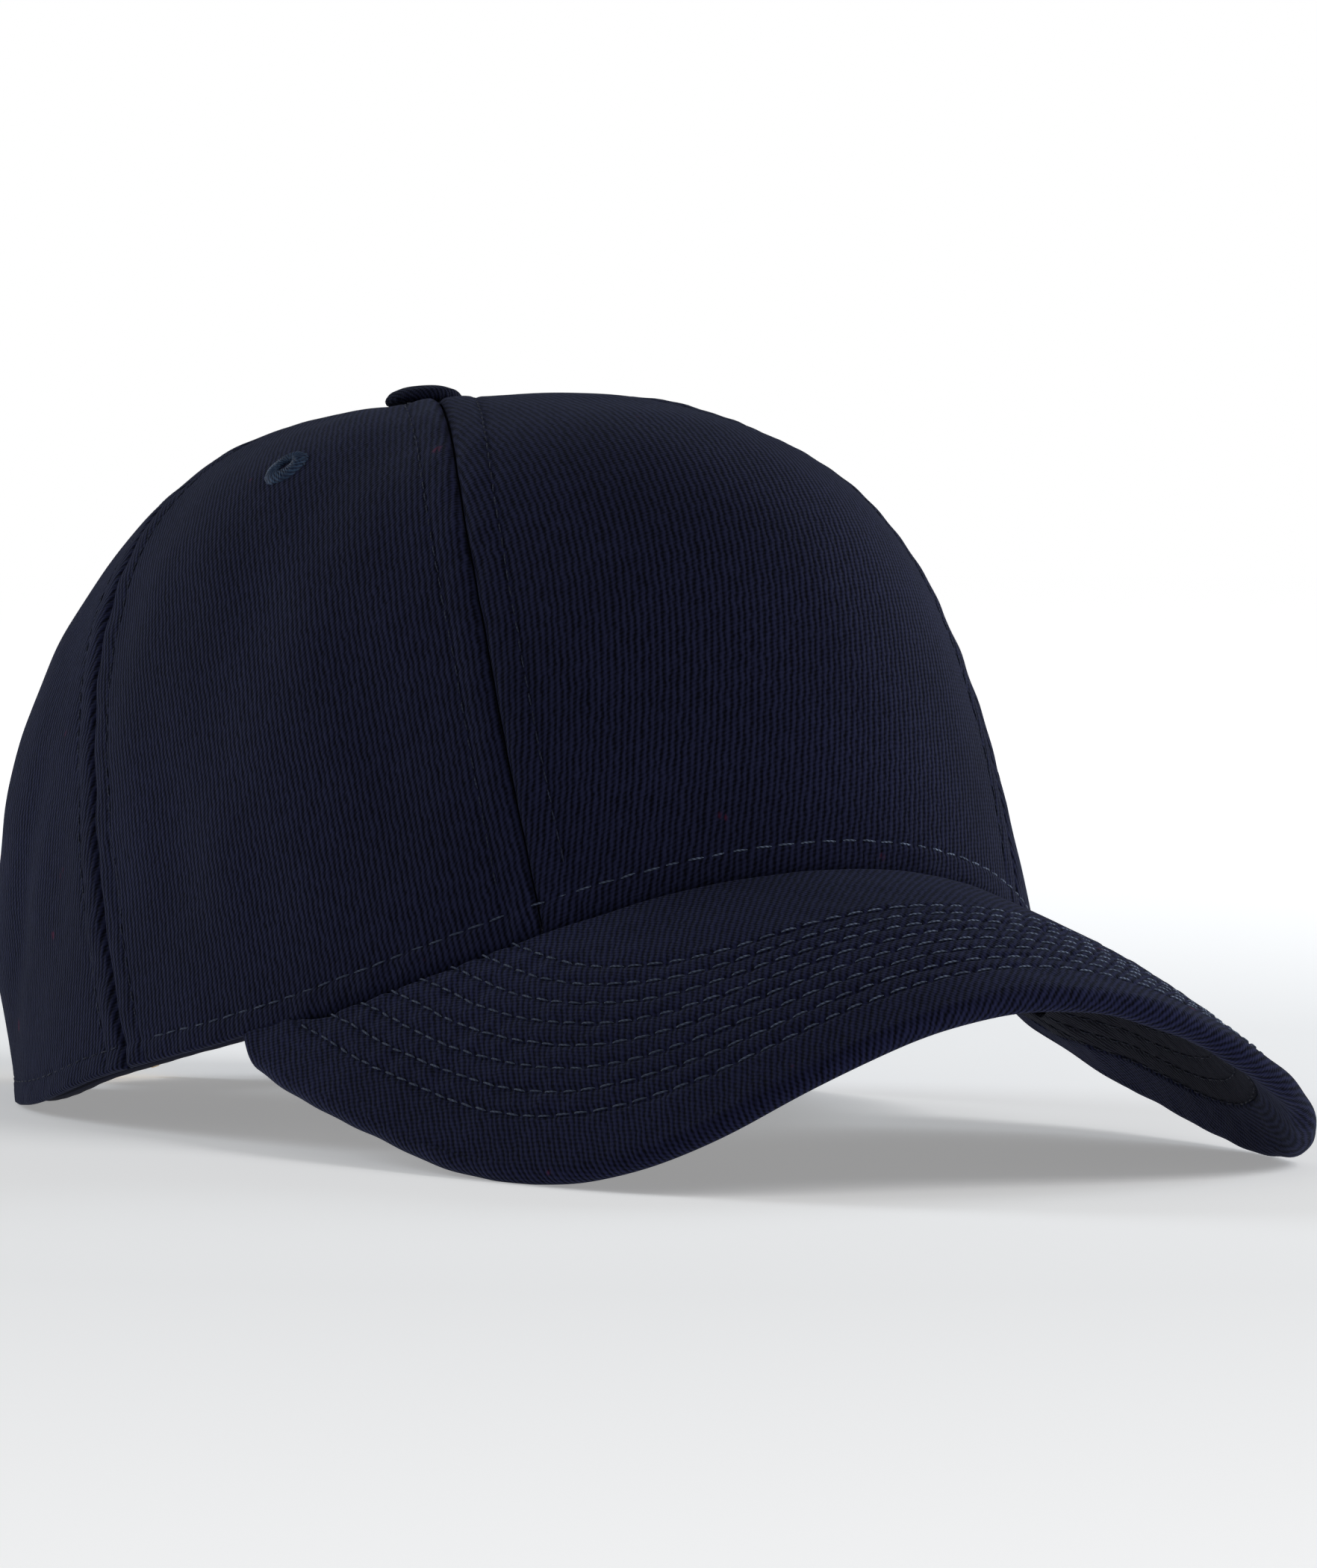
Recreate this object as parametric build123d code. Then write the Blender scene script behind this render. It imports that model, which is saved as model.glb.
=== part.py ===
# Structured five-panel baseball cap with a pre-curved visor and a brass clasp at the back.
# The wearer faces -Y and the wearer's right hand is at -X. Millimetres throughout.
# Every cloth piece follows one crown surface or one visor surface, each at its own depth.
import os
from math import asin, cos, degrees, pi, radians, sin, sqrt

from build123d import *

# Head opening, as half lengths of the oval that the hem follows
HALF_WIDTH = 80.6
FRONT_LENGTH = 117.7
BACK_LENGTH = 99.7

# Crown profile: a cubic from the hem up to the button, blended between front, side and back
CROWN_HEIGHT = 111.8
BUTTON_SETBACK = 18.5
BULGE = {"front": -0.04, "side": -0.18, "back": 0.30}
RISE = {"front": 0.80, "side": 0.51, "back": 0.52}
SHOULDER = {"front": 0.70, "side": 0.93, "back": 0.74}
ROUNDING = {"front": 4.3, "side": -0.6, "back": -1.0}
BUTTON_HOLE_AT = 0.985
HEM_DIP = 6.6
HEM_LOWEST_AT = 0.33
HEM_RISE_AT_BACK = 5.0

# Panel seams, in degrees round from the front: at the hem, at the button, and their bow between
FRONT_SEAM = (34.1, 36.5, 3.7)
REAR_SEAM = (82.9, 115.9, 4.0)
SEAM_GAP = 0.2

# Visor
VISOR_CORNER = 67.6
VISOR_ROLL = 97.7
VISOR_ROLL_TAPER = -0.226
VISOR_SLOPE = 5.1
VISOR_DROOP = 13.5
VISOR_WIDEST = 90.8
VISOR_WIDEST_AT = 54.2
VISOR_REACH = 83.6
VISOR_SIDE_POWER = 2.65
VISOR_NOSE_POWER = 2.15
VISOR_CORNER_POWER = 2.24
SIDE_SHARE = 0.4
JOINT_GAP = 0.45
RIM_RADIUS = 2.1
RIM_TURN_UNDER = 8.0
VISOR_CLOTH = 1.0
BOARD_THICKNESS = 1.6
BOARD_GAP = 0.3
VISOR_SPAN = 0.98
HEM_TUCK = 0.014

# Depths below the outside of the crown: (outer face, inner face)
PANEL_LAYER = (0.0, 1.0)
LINING_LAYER = (1.12, 1.72)
TAPE_LAYER = (1.84, 2.44)
TAB_LAYER = (1.15, 2.0)
STRAP_LAYER = (2.15, 3.15)
SWEATBAND_LAYER = (3.35, 4.65)

# Trim
TAPE_HALF_WIDTH = 8.0
SWEATBAND_WIDTH = 30.0
STRAP_BOTTOM = 2.5
STRAP_WIDTH = 19.0
ARCH_HALF_WIDTH = 45.0
ARCH_HEIGHT = 53.0
ARCH_ROUND = 0.62
BINDING_WIDTH = 9.0
BINDING_GAP = 0.4
BINDING_ABOVE_STRAP = 3.0
BINDING_SPAN = (128.0, 232.0)
BINDING_TOP = 0.6
EYELET_RADIUS = 2.6
EYELET_THREAD = 1.0
SIDE_EYELET = (69.3, 0.673)
BACK_EYELET = (149.0, 0.66)
BUTTON_RADIUS = 6.6
BUTTON_DOME = 3.4

# Clasp
CLASP_AT = 161.0
CLASP_HEIGHT = 12.0
FRAME_LENGTH = 24.0
FRAME_WIDTH = 24.6
FRAME_BAR = 3.5
FRAME_BASE = 1.2
FRAME_GAUGE = 1.2
EAR_GAUGE = 1.3
PIN_RADIUS = 0.75
PIN_CLEARANCE = 0.05
PIN_AT = (-9.0, 4.35)
LEVER_LENGTH = 20.0
LEVER_GAUGE = 1.1
KNUCKLE_RADIUS = 1.45
EAR_LENGTH = 4.4
LIP_RADIUS = 0.85
TAB_WRAP = 0.95

# The cap at rest on the visor's tips and the hem: tilt, then the origin under the middle of its box
REST_TILT = 7.4
ORIGIN_SHIFT = (0.0, 34.75, 12.0)


def blend(values, theta):
    """Mix a front, side and back value by direction round the crown."""
    along = cos(radians(theta)) ** 2
    end = values["front"] if abs(theta) < 90 else values["back"]
    return end * along + values["side"] * (1 - along)


def bulge(theta):
    """The hem's lean, which turns to its back value sooner than the other blends."""
    if abs(theta) < 90:
        return blend(BULGE, theta)
    behind = 1 - sin(radians(theta)) ** 4
    return BULGE["back"] * behind + BULGE["side"] * (1 - behind)


def oval(theta):
    """Plan position on the hem: across, and forward of the widest point."""
    ahead = FRONT_LENGTH if abs(theta) < 90 else BACK_LENGTH
    return HALF_WIDTH * sin(radians(theta)), ahead * cos(radians(theta))


def visor_rise(across, along):
    """Height of the visor's middle surface, square to its slope."""
    roll = max(VISOR_ROLL + VISOR_ROLL_TAPER * along, abs(across) + 0.01)
    return -(roll - sqrt(roll**2 - across**2)) - VISOR_DROOP * (along / 100) ** 2


def visor_along(across, forward):
    """Distance along the visor's slope at a plan position."""
    along = forward / cos(radians(VISOR_SLOPE))
    for _ in range(6):
        along = (forward - visor_rise(across, along) * sin(radians(VISOR_SLOPE))) / cos(radians(VISOR_SLOPE))
    return along


def visor_height(across, forward):
    along = visor_along(across, forward)
    slope = radians(VISOR_SLOPE)
    return -along * sin(slope) + visor_rise(across, along) * cos(slope)


CORNER_ACROSS, CORNER_FORWARD = oval(VISOR_CORNER)
CORNER_LIFT = -visor_height(CORNER_ACROSS, 0)


def hem_height(theta):
    """The front hem rides on the visor; behind its corners the hem dips, then rises to the back."""
    across, forward = oval(theta)
    turn = abs((theta + 180) % 360 - 180)
    if turn < VISOR_CORNER:
        return visor_height(across, forward - CORNER_FORWARD) + CORNER_LIFT
    way = (turn - VISOR_CORNER) / (180 - VISOR_CORNER)
    if way < HEM_LOWEST_AT:
        return -HEM_DIP * sin(pi / 2 * way / HEM_LOWEST_AT)
    onward = (way - HEM_LOWEST_AT) / (1 - HEM_LOWEST_AT)
    return -HEM_DIP + (HEM_DIP + HEM_RISE_AT_BACK) * (1 - cos(pi * onward)) / 2


def crown_surface(theta, t):
    """Outside of the crown: t is 0 at the hem and 1 at the button."""
    low = hem_height(theta)
    weights = ((1 - t) ** 3, 3 * (1 - t) ** 2 * t, 3 * (1 - t) * t**2, t**3)
    radii = (1, 1 + bulge(theta), blend(SHOULDER, theta), 0)
    heights = (low, low + blend(RISE, theta) * (CROWN_HEIGHT - low), CROWN_HEIGHT - blend(ROUNDING, theta), CROWN_HEIGHT)
    radius = sum(w * r for w, r in zip(weights, radii))
    across, forward = oval(theta)
    forward = radius * (forward + BUTTON_SETBACK) - BUTTON_SETBACK
    return Vector(radius * across, -forward, sum(w * h for w, h in zip(weights, heights)))


def crown_normal(theta, t):
    """Outward unit normal of the crown."""
    step = 0.002
    across = crown_surface(theta + 0.2, t) - crown_surface(theta - 0.2, t)
    up = crown_surface(theta, min(t + step, 0.999)) - crown_surface(theta, t - step)
    return across.cross(up).normalized()


def crown(theta, t, depth=0.0):
    return crown_surface(theta, t) - crown_normal(theta, t) * depth


def spread(theta, t, distance):
    """Angle that covers a distance round the crown."""
    return distance / ((crown_surface(theta + 0.2, t) - crown_surface(theta - 0.2, t)).length / 0.4)


def seam(line, t):
    at_hem, at_button, bow = line
    return at_hem + (at_button - at_hem) * t + bow * 4 * t * (1 - t)


def t_at_height(theta, height):
    """How far up a meridian a height above the hem is reached."""
    low, high = 0.0, 0.9
    for _ in range(40):
        middle = (low + high) / 2
        if (crown_surface(theta, middle) - crown_surface(theta, 0)).length < height:
            low = middle
        else:
            high = middle
    return low


def tuck(theta):
    """Hem allowance that runs down behind the visor, as a share of a meridian."""
    inside = min(1, max(0, (VISOR_CORNER - abs(theta)) / 20))
    return HEM_TUCK * inside**2 * (3 - 2 * inside)


def skin(rows):
    return Face.make_surface_from_array_of_points(rows, tol=0.01, min_deg=3, max_deg=3)


def shell_solid(point, layer, across=24, up=24):
    """Closed solid between two depths of a surface that is a grid of four-sided cells."""
    faces = []
    for depth in layer:
        faces.append(skin([[point(i / across, j / up, depth) for i in range(across + 1)] for j in range(up + 1)]))
    return closed_between(faces[0], faces[1])


def closed_between(outer, inner):
    """Join two matching four-sided faces by ruled walls."""
    walls = []
    spare = list(inner.edges())
    for edge in outer.edges():
        match = min(spare, key=lambda other: (other.center() - edge.center()).length)
        spare.remove(match)
        walls.append(Face.make_surface_from_curves(edge, match))
    return Solid(Shell([outer, inner] + walls))


def panel(left, right, layer, t_low=0.0, t_high=BUTTON_HOLE_AT, margin=SEAM_GAP):
    """Cloth between two seams, given as functions of t that return degrees."""
    def point(u, v, depth):
        low = t_low - (tuck(left(0) + (right(0) - left(0)) * u) if t_low == 0 else 0)
        t = low + (t_high - low) * v
        start = left(t) + spread(left(t), t, margin)
        end = right(t) - spread(right(t), t, margin)
        return crown(start + (end - start) * u, t, depth)

    return shell_solid(point, layer)


def band(theta_start, theta_end, bottom, top, layer, across=40):
    """Cloth that follows the hem between two heights above it."""
    def point(u, v, depth):
        theta = theta_start + (theta_end - theta_start) * u
        low = t_at_height(theta, bottom)
        high = t_at_height(theta, top)
        return crown(theta, low + (high - low) * v, depth)

    return shell_solid(point, layer, across=across, up=6)


def tape(line, t_high=0.95, t_low=0.02):
    """Narrow tape along the inside of a seam."""
    def point(u, v, depth):
        t = t_low + (t_high - t_low) * v
        middle = line(t)
        half = spread(middle, t, TAPE_HALF_WIDTH * min(1, (1 - t) * 3 + 0.25))
        return crown(middle + half * (2 * u - 1), t, depth)

    return shell_solid(point, TAPE_LAYER, across=8, up=24)


def mirrored(shape):
    return mirror(shape, about=Plane.YZ)


def arch_prism(extra=0.0):
    """The half-moon cut-out at the back, drawn across the cap and run out behind it."""
    base = crown_surface(180, 0).Z
    half = ARCH_HALF_WIDTH + extra
    spring = ARCH_HEIGHT + extra - half * ARCH_ROUND
    top = ARCH_HEIGHT + extra
    outline = [
        Line((-half, -30), (-half, spring)),
        ThreePointArc((-half, spring), (0, top), (half, spring)),
        Line((half, spring), (half, -30)),
        Line((half, -30), (-half, -30)),
    ]
    sketch = make_face(outline)
    placed = Plane((0, 20, base), x_dir=(1, 0, 0), z_dir=(0, -1, 0))
    return extrude(placed * sketch, amount=-150)


# Panels and what lines them
def front_seam(t):
    return seam(FRONT_SEAM, t)


def rear_seam(t):
    return seam(REAR_SEAM, t)


def make_front_panel():
    return panel(lambda t: -front_seam(t), front_seam, PANEL_LAYER)


def make_front_buckram():
    return panel(lambda t: -front_seam(t), front_seam, LINING_LAYER, 0.03, 0.93, margin=3.0)


def make_side_panel():
    return panel(front_seam, rear_seam, PANEL_LAYER)


def make_back_panel():
    whole = panel(rear_seam, lambda t: 180, PANEL_LAYER)
    return whole - arch_prism()


def make_arch_binding():
    """Folded tape that lines the half-moon, above the strap."""
    start, end = BINDING_SPAN
    top = BINDING_TOP

    def point(u, v, depth):
        return crown(start + (end - start) * u, 0.02 + (top - 0.02) * v, depth)

    ring = arch_prism(BINDING_WIDTH) - arch_prism(BINDING_GAP)
    sheet = shell_solid(point, LINING_LAYER, across=40, up=24)
    foot = crown_surface(180, 0).Z + STRAP_BOTTOM + STRAP_WIDTH + BINDING_ABOVE_STRAP
    below = Pos(0, BACK_LENGTH, foot - CROWN_HEIGHT) * Box(4 * HALF_WIDTH, 2 * BACK_LENGTH, 2 * CROWN_HEIGHT)
    return (sheet & ring) - below


# Eyelets
def eyelet_place(spot):
    theta, t = spot
    return Plane(crown(theta, t, 0.4), z_dir=crown_normal(theta, t))


def make_eyelet(spot):
    return eyelet_place(spot) * Torus(EYELET_RADIUS, EYELET_THREAD)


def eyelet_hole(spot):
    return eyelet_place(spot) * Cylinder(EYELET_RADIUS, 12)


# Button
def button_place():
    return Plane((0, BUTTON_SETBACK, CROWN_HEIGHT))


def dome(radius, height, base=0.0):
    """Flat-bottomed cap of a sphere."""
    ball = (radius**2 + height**2) / (2 * height)
    lens = Pos(0, 0, base + height - ball) * Sphere(ball)
    return lens & Pos(0, 0, base + height / 2) * Box(4 * radius, 4 * radius, height)


def make_button_cover():
    outer = dome(BUTTON_RADIUS, BUTTON_DOME, 0.35)
    return button_place() * (outer - dome(BUTTON_RADIUS - 0.8, BUTTON_DOME - 0.8, 0.35))


def make_button_shell():
    outer = dome(BUTTON_RADIUS - 0.9, BUTTON_DOME - 0.9, 0.35)
    return button_place() * (outer - Cylinder(1.3, 3.4))


def make_button_tack():
    shank = Pos(0, 0, -1.4) * Cylinder(1.2, 5.6)
    washer = Pos(0, 0, -4.4) * Cylinder(6.0, 0.6)
    return button_place() * (shank + washer)


# Sweatband and visor
def make_sweatband():
    reach = 180 - degrees(asin((ARCH_HALF_WIDTH - 1) / HALF_WIDTH)) - 1
    return band(-reach, reach, 0.8, SWEATBAND_WIDTH, SWEATBAND_LAYER, across=90)


def nose_curve(angle):
    """Rounded front of the visor: |x|**side power + |y|**nose power = 1, at one direction."""
    low, high = 0.9, 1.5
    for _ in range(30):
        middle = (low + high) / 2
        reach = (middle * cos(angle)) ** VISOR_SIDE_POWER + (middle * sin(angle)) ** VISOR_NOSE_POWER
        low, high = (middle, high) if reach < 1 else (low, middle)
    return low * cos(angle), low * sin(angle)


def visor_edge(u):
    """Edge of the visor pattern, from one corner (u = -1) round the nose (0) to the other (1)."""
    corner_s, corner_a = CORNER_PATTERN
    side = 1 if u >= 0 else -1
    way = 1 - abs(u)
    if way < SIDE_SHARE:
        v = 1 - way / SIDE_SHARE
        across = VISOR_WIDEST - (VISOR_WIDEST - corner_s) * v**VISOR_CORNER_POWER
        return side * across, VISOR_WIDEST_AT - (VISOR_WIDEST_AT - corner_a) * v
    x, y = nose_curve(pi / 2 * (way - SIDE_SHARE) / (1 - SIDE_SHARE))
    return side * VISOR_WIDEST * x, VISOR_WIDEST_AT + VISOR_REACH * y


def visor_joint(u, depth=0.0):
    """Line on the visor pattern that clears the outside of the crown, at a depth in the visor."""
    theta = VISOR_CORNER * u
    across, forward = oval(theta)
    gap = JOINT_GAP + depth * (0.2 + 0.65 * sin(radians(theta)) ** 2)
    grow = 1 + gap / HALF_WIDTH
    across, forward = across * grow, forward + (FRONT_LENGTH * (grow - 1)) * cos(radians(theta))
    along = visor_along(across, forward - CORNER_FORWARD)
    roll = VISOR_ROLL + VISOR_ROLL_TAPER * along
    return roll * asin(across / roll), along


def corner_pattern():
    along = visor_along(CORNER_ACROSS, 0)
    roll = VISOR_ROLL + VISOR_ROLL_TAPER * along
    return roll * asin(CORNER_ACROSS / roll), along


CORNER_PATTERN = corner_pattern()


def visor_surface(across, along):
    """Middle surface of the bent visor from a place on its flat pattern."""
    roll = VISOR_ROLL + VISOR_ROLL_TAPER * along
    x = roll * sin(across / roll)
    rise = visor_rise(x, along)
    slope = radians(VISOR_SLOPE)
    forward = CORNER_FORWARD + along * cos(slope) + rise * sin(slope)
    return Vector(x, -forward, CORNER_LIFT - along * sin(slope) + rise * cos(slope))


def visor_point(across, along, lift=0.0):
    sideways = visor_surface(across + 0.2, along) - visor_surface(across - 0.2, along)
    outward = visor_surface(across, along + 0.2) - visor_surface(across, along - 0.2)
    return visor_surface(across, along) + outward.cross(sideways).normalized() * lift


def edge_outward(u):
    """Unit direction off the edge of the flat pattern."""
    before, after = visor_edge(u - 0.004), visor_edge(u + 0.004)
    run = (after[0] - before[0], after[1] - before[1])
    length = sqrt(run[0] ** 2 + run[1] ** 2)
    return -run[1] / length, run[0] / length


def joint_to_edge(u):
    start, end = visor_joint(u), visor_edge(u)
    return sqrt((end[0] - start[0]) ** 2 + (end[1] - start[1]) ** 2)


def visor_layer(top, bottom, inset):
    """Flat layer of the visor between two lifts, ending a distance inside the edge."""
    def point(i, v, lift):
        u = VISOR_SPAN * (2 * i - 1)
        start, end, out = visor_joint(u, -bottom), visor_edge(u), edge_outward(u)
        step = min(inset, 0.5 * joint_to_edge(u))
        end = (end[0] - out[0] * step, end[1] - out[1] * step)
        return visor_point(start[0] + (end[0] - start[0]) * v, start[1] + (end[1] - start[1]) * v, lift)

    return shell_solid(point, (top, bottom), across=64, up=10)


def rolled_section(u, radius, top):
    """Points across the top cloth: out to the edge, round the rim and back beneath it."""
    start, end, out = visor_joint(u, VISOR_CLOTH), visor_edge(u), edge_outward(u)
    flat, turn, back = 14, 8, 3
    centre = top - radius
    points = []
    for k in range(flat):
        v = k / flat
        points.append(visor_point(start[0] + (end[0] - start[0]) * v, start[1] + (end[1] - start[1]) * v, top))
    for k in range(turn + 1):
        angle = pi * k / turn
        reach = radius * sin(angle)
        points.append(visor_point(end[0] + out[0] * reach, end[1] + out[1] * reach, centre + radius * cos(angle)))
    under = min(RIM_TURN_UNDER, 0.5 * joint_to_edge(u))
    for k in range(1, back + 1):
        reach = -under * k / back
        points.append(visor_point(end[0] + out[0] * reach, end[1] + out[1] * reach, centre - radius))
    return points


def make_visor_top_fabric():
    spans = [VISOR_SPAN * (2 * i / 72 - 1) for i in range(73)]
    outer = skin([rolled_section(u, RIM_RADIUS, 0.0) for u in spans])
    inner = skin([rolled_section(u, RIM_RADIUS - VISOR_CLOTH, -VISOR_CLOTH) for u in spans])
    return closed_between(outer, inner)


def make_visor_board():
    top = -VISOR_CLOTH - BOARD_GAP
    return visor_layer(top, top - BOARD_THICKNESS, 1.2)


def make_visor_under_fabric():
    return visor_layer(-2 * RIM_RADIUS + VISOR_CLOTH, -2 * RIM_RADIUS, RIM_TURN_UNDER + 0.4)


# Closure at the back
def make_strap():
    return band(126, 240, STRAP_BOTTOM, STRAP_BOTTOM + STRAP_WIDTH, STRAP_LAYER, across=48)


def clasp_place():
    theta = -CLASP_AT
    t = t_at_height(theta, CLASP_HEIGHT)
    along = crown_surface(theta + 0.2, t) - crown_surface(theta - 0.2, t)
    return Plane(crown(theta, t, STRAP_LAYER[0]), x_dir=along, z_dir=crown_normal(theta, t))


def make_strap_tab():
    cloth = band(-153.6, -126, STRAP_BOTTOM, STRAP_BOTTOM + STRAP_WIDTH, TAB_LAYER, across=12)
    middle = FRAME_LENGTH / 2 - FRAME_BAR / 2
    outer = Box(FRAME_BAR + 2 * TAB_WRAP, STRAP_WIDTH, FRAME_GAUGE + 2 * TAB_WRAP)
    inner = Box(FRAME_BAR + 0.1, STRAP_WIDTH + 1, FRAME_GAUGE + 0.1)
    loop = Pos(middle, 0, FRAME_BASE + FRAME_GAUGE / 2) * (outer - inner)
    foot = Pos(middle + 1.7, 0, 0.0) * Box(2.0, STRAP_WIDTH, 1.5)
    return cloth + clasp_place() * (loop + foot)


def make_buckle_frame():
    middle = FRAME_BASE + FRAME_GAUGE / 2
    ring = Pos(0, 0, middle) * Box(FRAME_LENGTH, FRAME_WIDTH, FRAME_GAUGE)
    window = Pos(0, 0, middle) * Box(FRAME_LENGTH - 2 * FRAME_BAR, FRAME_WIDTH - 4, 3)
    ring = fillet(ring.edges().filter_by(Axis.Z), 2.0) - window
    along, out = PIN_AT
    ear_height = out + 1.5 - FRAME_BASE
    for side in (-1, 1):
        place = Pos(along, side * (FRAME_WIDTH - EAR_GAUGE) / 2, FRAME_BASE + ear_height / 2)
        ear = Box(EAR_LENGTH, EAR_GAUGE, ear_height)
        top = ear.edges().filter_by(Axis.Y).group_by(Axis.Z)[-1]
        ring += place * fillet(top, 1.8)
    bore = Pos(along, 0, out) * Rot(90, 0, 0) * Cylinder(PIN_RADIUS, 2 * FRAME_WIDTH)
    return clasp_place() * (ring - bore)


def make_buckle_pin():
    along, out = PIN_AT
    return clasp_place() * Pos(along, 0, out) * Rot(90, 0, 0) * Cylinder(PIN_RADIUS, FRAME_WIDTH + 0.6)


def make_buckle_lever():
    along, out = PIN_AT
    between = FRAME_WIDTH - 2 * EAR_GAUGE
    knuckle = Pos(along, 0, out) * Rot(90, 0, 0) * Cylinder(KNUCKLE_RADIUS, between - 0.7)
    plate = Pos(along + LEVER_LENGTH / 2, 0, out) * Box(LEVER_LENGTH, between - 1.2, LEVER_GAUGE)
    corners = plate.edges().filter_by(Axis.Z).group_by(Axis.X)[-1]
    plate = fillet(corners, 3.0)
    lip = Pos(along + LEVER_LENGTH, 0, out + 0.35) * Rot(90, 0, 0) * Cylinder(LIP_RADIUS, between - 8)
    bore = Pos(along, 0, out) * Rot(90, 0, 0) * Cylinder(PIN_RADIUS + PIN_CLEARANCE, 2 * FRAME_WIDTH)
    return clasp_place() * (knuckle + plate + lip - bore)


def make_all():
    side = make_side_panel() - eyelet_hole(SIDE_EYELET)
    back = make_back_panel() - eyelet_hole(BACK_EYELET)
    pairs = {
        "side_panel": side,
        "back_panel": back,
        "front_seam_tape": tape(front_seam),
        "rear_seam_tape": tape(rear_seam),
        "side_eyelet": make_eyelet(SIDE_EYELET),
        "back_eyelet": make_eyelet(BACK_EYELET),
    }
    nodes = {
        "front_panel": make_front_panel(),
        "front_buckram": make_front_buckram(),
        "centre_back_tape": tape(lambda t: 180, t_low=0.66),
        "arch_binding": make_arch_binding(),
        "button_cover": make_button_cover(),
        "button_shell": make_button_shell(),
        "button_tack": make_button_tack(),
        "sweatband": make_sweatband(),
        "visor_board": make_visor_board(),
        "visor_top_fabric": make_visor_top_fabric(),
        "visor_under_fabric": make_visor_under_fabric(),
        "strap": make_strap(),
        "strap_tab": make_strap_tab(),
        "buckle_frame": make_buckle_frame(),
        "buckle_pin": make_buckle_pin(),
        "buckle_lever": make_buckle_lever(),
    }
    for name, shape in pairs.items():
        nodes[name + "_left"] = shape
        nodes[name + "_right"] = mirrored(shape)
    return nodes


def at_rest(shape):
    return Pos(*ORIGIN_SHIFT) * Rot(-REST_TILT, 0, 0) * shape


def main():
    os.makedirs("parts", exist_ok=True)
    for name, shape in make_all().items():
        placed = at_rest(shape)
        export_step(placed, f"parts/{name}.step")
        box = placed.bounding_box()
        print(name, [round(value, 1) for value in (*box.min, *box.max)])
    hinge = at_rest(clasp_place() * Pos(PIN_AT[0], 0, PIN_AT[1]) * Box(1, 1, 1))
    axis = clasp_place().y_dir.rotate(Axis.X, -REST_TILT)
    print("lever hinge at", hinge.center(), "axis", -axis)


main()
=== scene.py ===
import math

import bpy
import numpy as np
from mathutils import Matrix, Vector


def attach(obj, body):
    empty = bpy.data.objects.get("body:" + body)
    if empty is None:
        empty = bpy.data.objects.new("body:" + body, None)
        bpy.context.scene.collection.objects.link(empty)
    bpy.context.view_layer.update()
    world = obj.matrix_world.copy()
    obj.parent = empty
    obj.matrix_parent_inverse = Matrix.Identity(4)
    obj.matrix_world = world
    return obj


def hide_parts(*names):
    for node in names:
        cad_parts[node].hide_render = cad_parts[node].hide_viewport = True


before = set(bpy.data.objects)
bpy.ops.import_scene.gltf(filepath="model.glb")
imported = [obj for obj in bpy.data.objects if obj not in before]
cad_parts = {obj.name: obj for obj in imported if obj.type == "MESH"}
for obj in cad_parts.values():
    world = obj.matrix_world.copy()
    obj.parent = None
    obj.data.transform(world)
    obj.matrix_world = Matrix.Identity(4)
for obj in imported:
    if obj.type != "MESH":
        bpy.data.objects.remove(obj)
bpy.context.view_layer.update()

MM = 0.001

# Crown and visor shape, in millimetres and degrees: the same design as the frame
HALF_WIDTH, FRONT_LENGTH, BACK_LENGTH = 80.6, 117.7, 99.7
CROWN_HEIGHT, BUTTON_SETBACK = 111.8, 18.5
BULGE = (-0.04, -0.18, 0.30)
RISE = (0.80, 0.51, 0.52)
SHOULDER = (0.70, 0.93, 0.74)
ROUNDING = (4.3, -0.6, -1.0)
HEM_DIP, HEM_LOWEST_AT, HEM_RISE_AT_BACK, HEM_TUCK = 6.6, 0.33, 5.0, 0.014
FRONT_SEAM = (34.1, 36.5, 3.7)
REAR_SEAM = (82.9, 115.9, 4.0)
APEX = 0.985
VISOR_CORNER, VISOR_ROLL, VISOR_TAPER = 67.6, 97.7, -0.226
VISOR_SLOPE, VISOR_DROOP = math.radians(5.1), 13.5
VISOR_WIDEST, VISOR_WIDEST_AT, VISOR_REACH = 90.8, 54.2, 83.6
SIDE_POWER, NOSE_POWER, CORNER_POWER = 2.65, 2.15, 2.24
SIDE_SHARE, RIM = 0.4, 2.1
ARCH_HALF_WIDTH, ARCH_HEIGHT, ARCH_ROUND = 45.0, 53.0, 0.62
ARCH_SPRING = ARCH_HEIGHT - ARCH_HALF_WIDTH * ARCH_ROUND
STRAP_BOTTOM, STRAP_WIDTH, BINDING_ABOVE_STRAP = 2.5, 19.0, 3.5
TILT, ORIGIN_SHIFT = math.radians(7.4), np.array([0.0, 34.75, 12.0])

# Cloth: thickness of the outer cloth, and how deep the layers under it begin and end
CLOTH = 1.0
LINING_LAYER, TAPE_LAYER = (1.12, 1.72), (1.84, 2.44)
SWEATBAND_LAYER, STRAP_LAYER = (3.35, 4.65), (2.15, 3.15)
TAPE_HALF_WIDTH, BINDING_WIDTH, SWEATBAND_WIDTH = 8.0, 8.3, 30.0

# Visor cloth: how far its inner edge clears the crown, how its corners draw in behind the hem,
# the width turned under at the rim, and the ribs' lean on the flat pattern
VISOR_GAP, CORNER_TUCK, CORNER_SINK = 1.0, 2.1, 1.2
RIM_UNDER, VISOR_RIB_LEAN, UNDER_RIB_LEAN = 8.0, -40, 38

# The worn cap isn't quite even: its left hem sits higher behind the visor, whose left side is bent less
FAR_HEM_LIFT, FAR_SIDE_OUT, FAR_SIDE_UP, NEAR_HEM_LIFT = 4.6, 4.5, 1.3, 1.1

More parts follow.
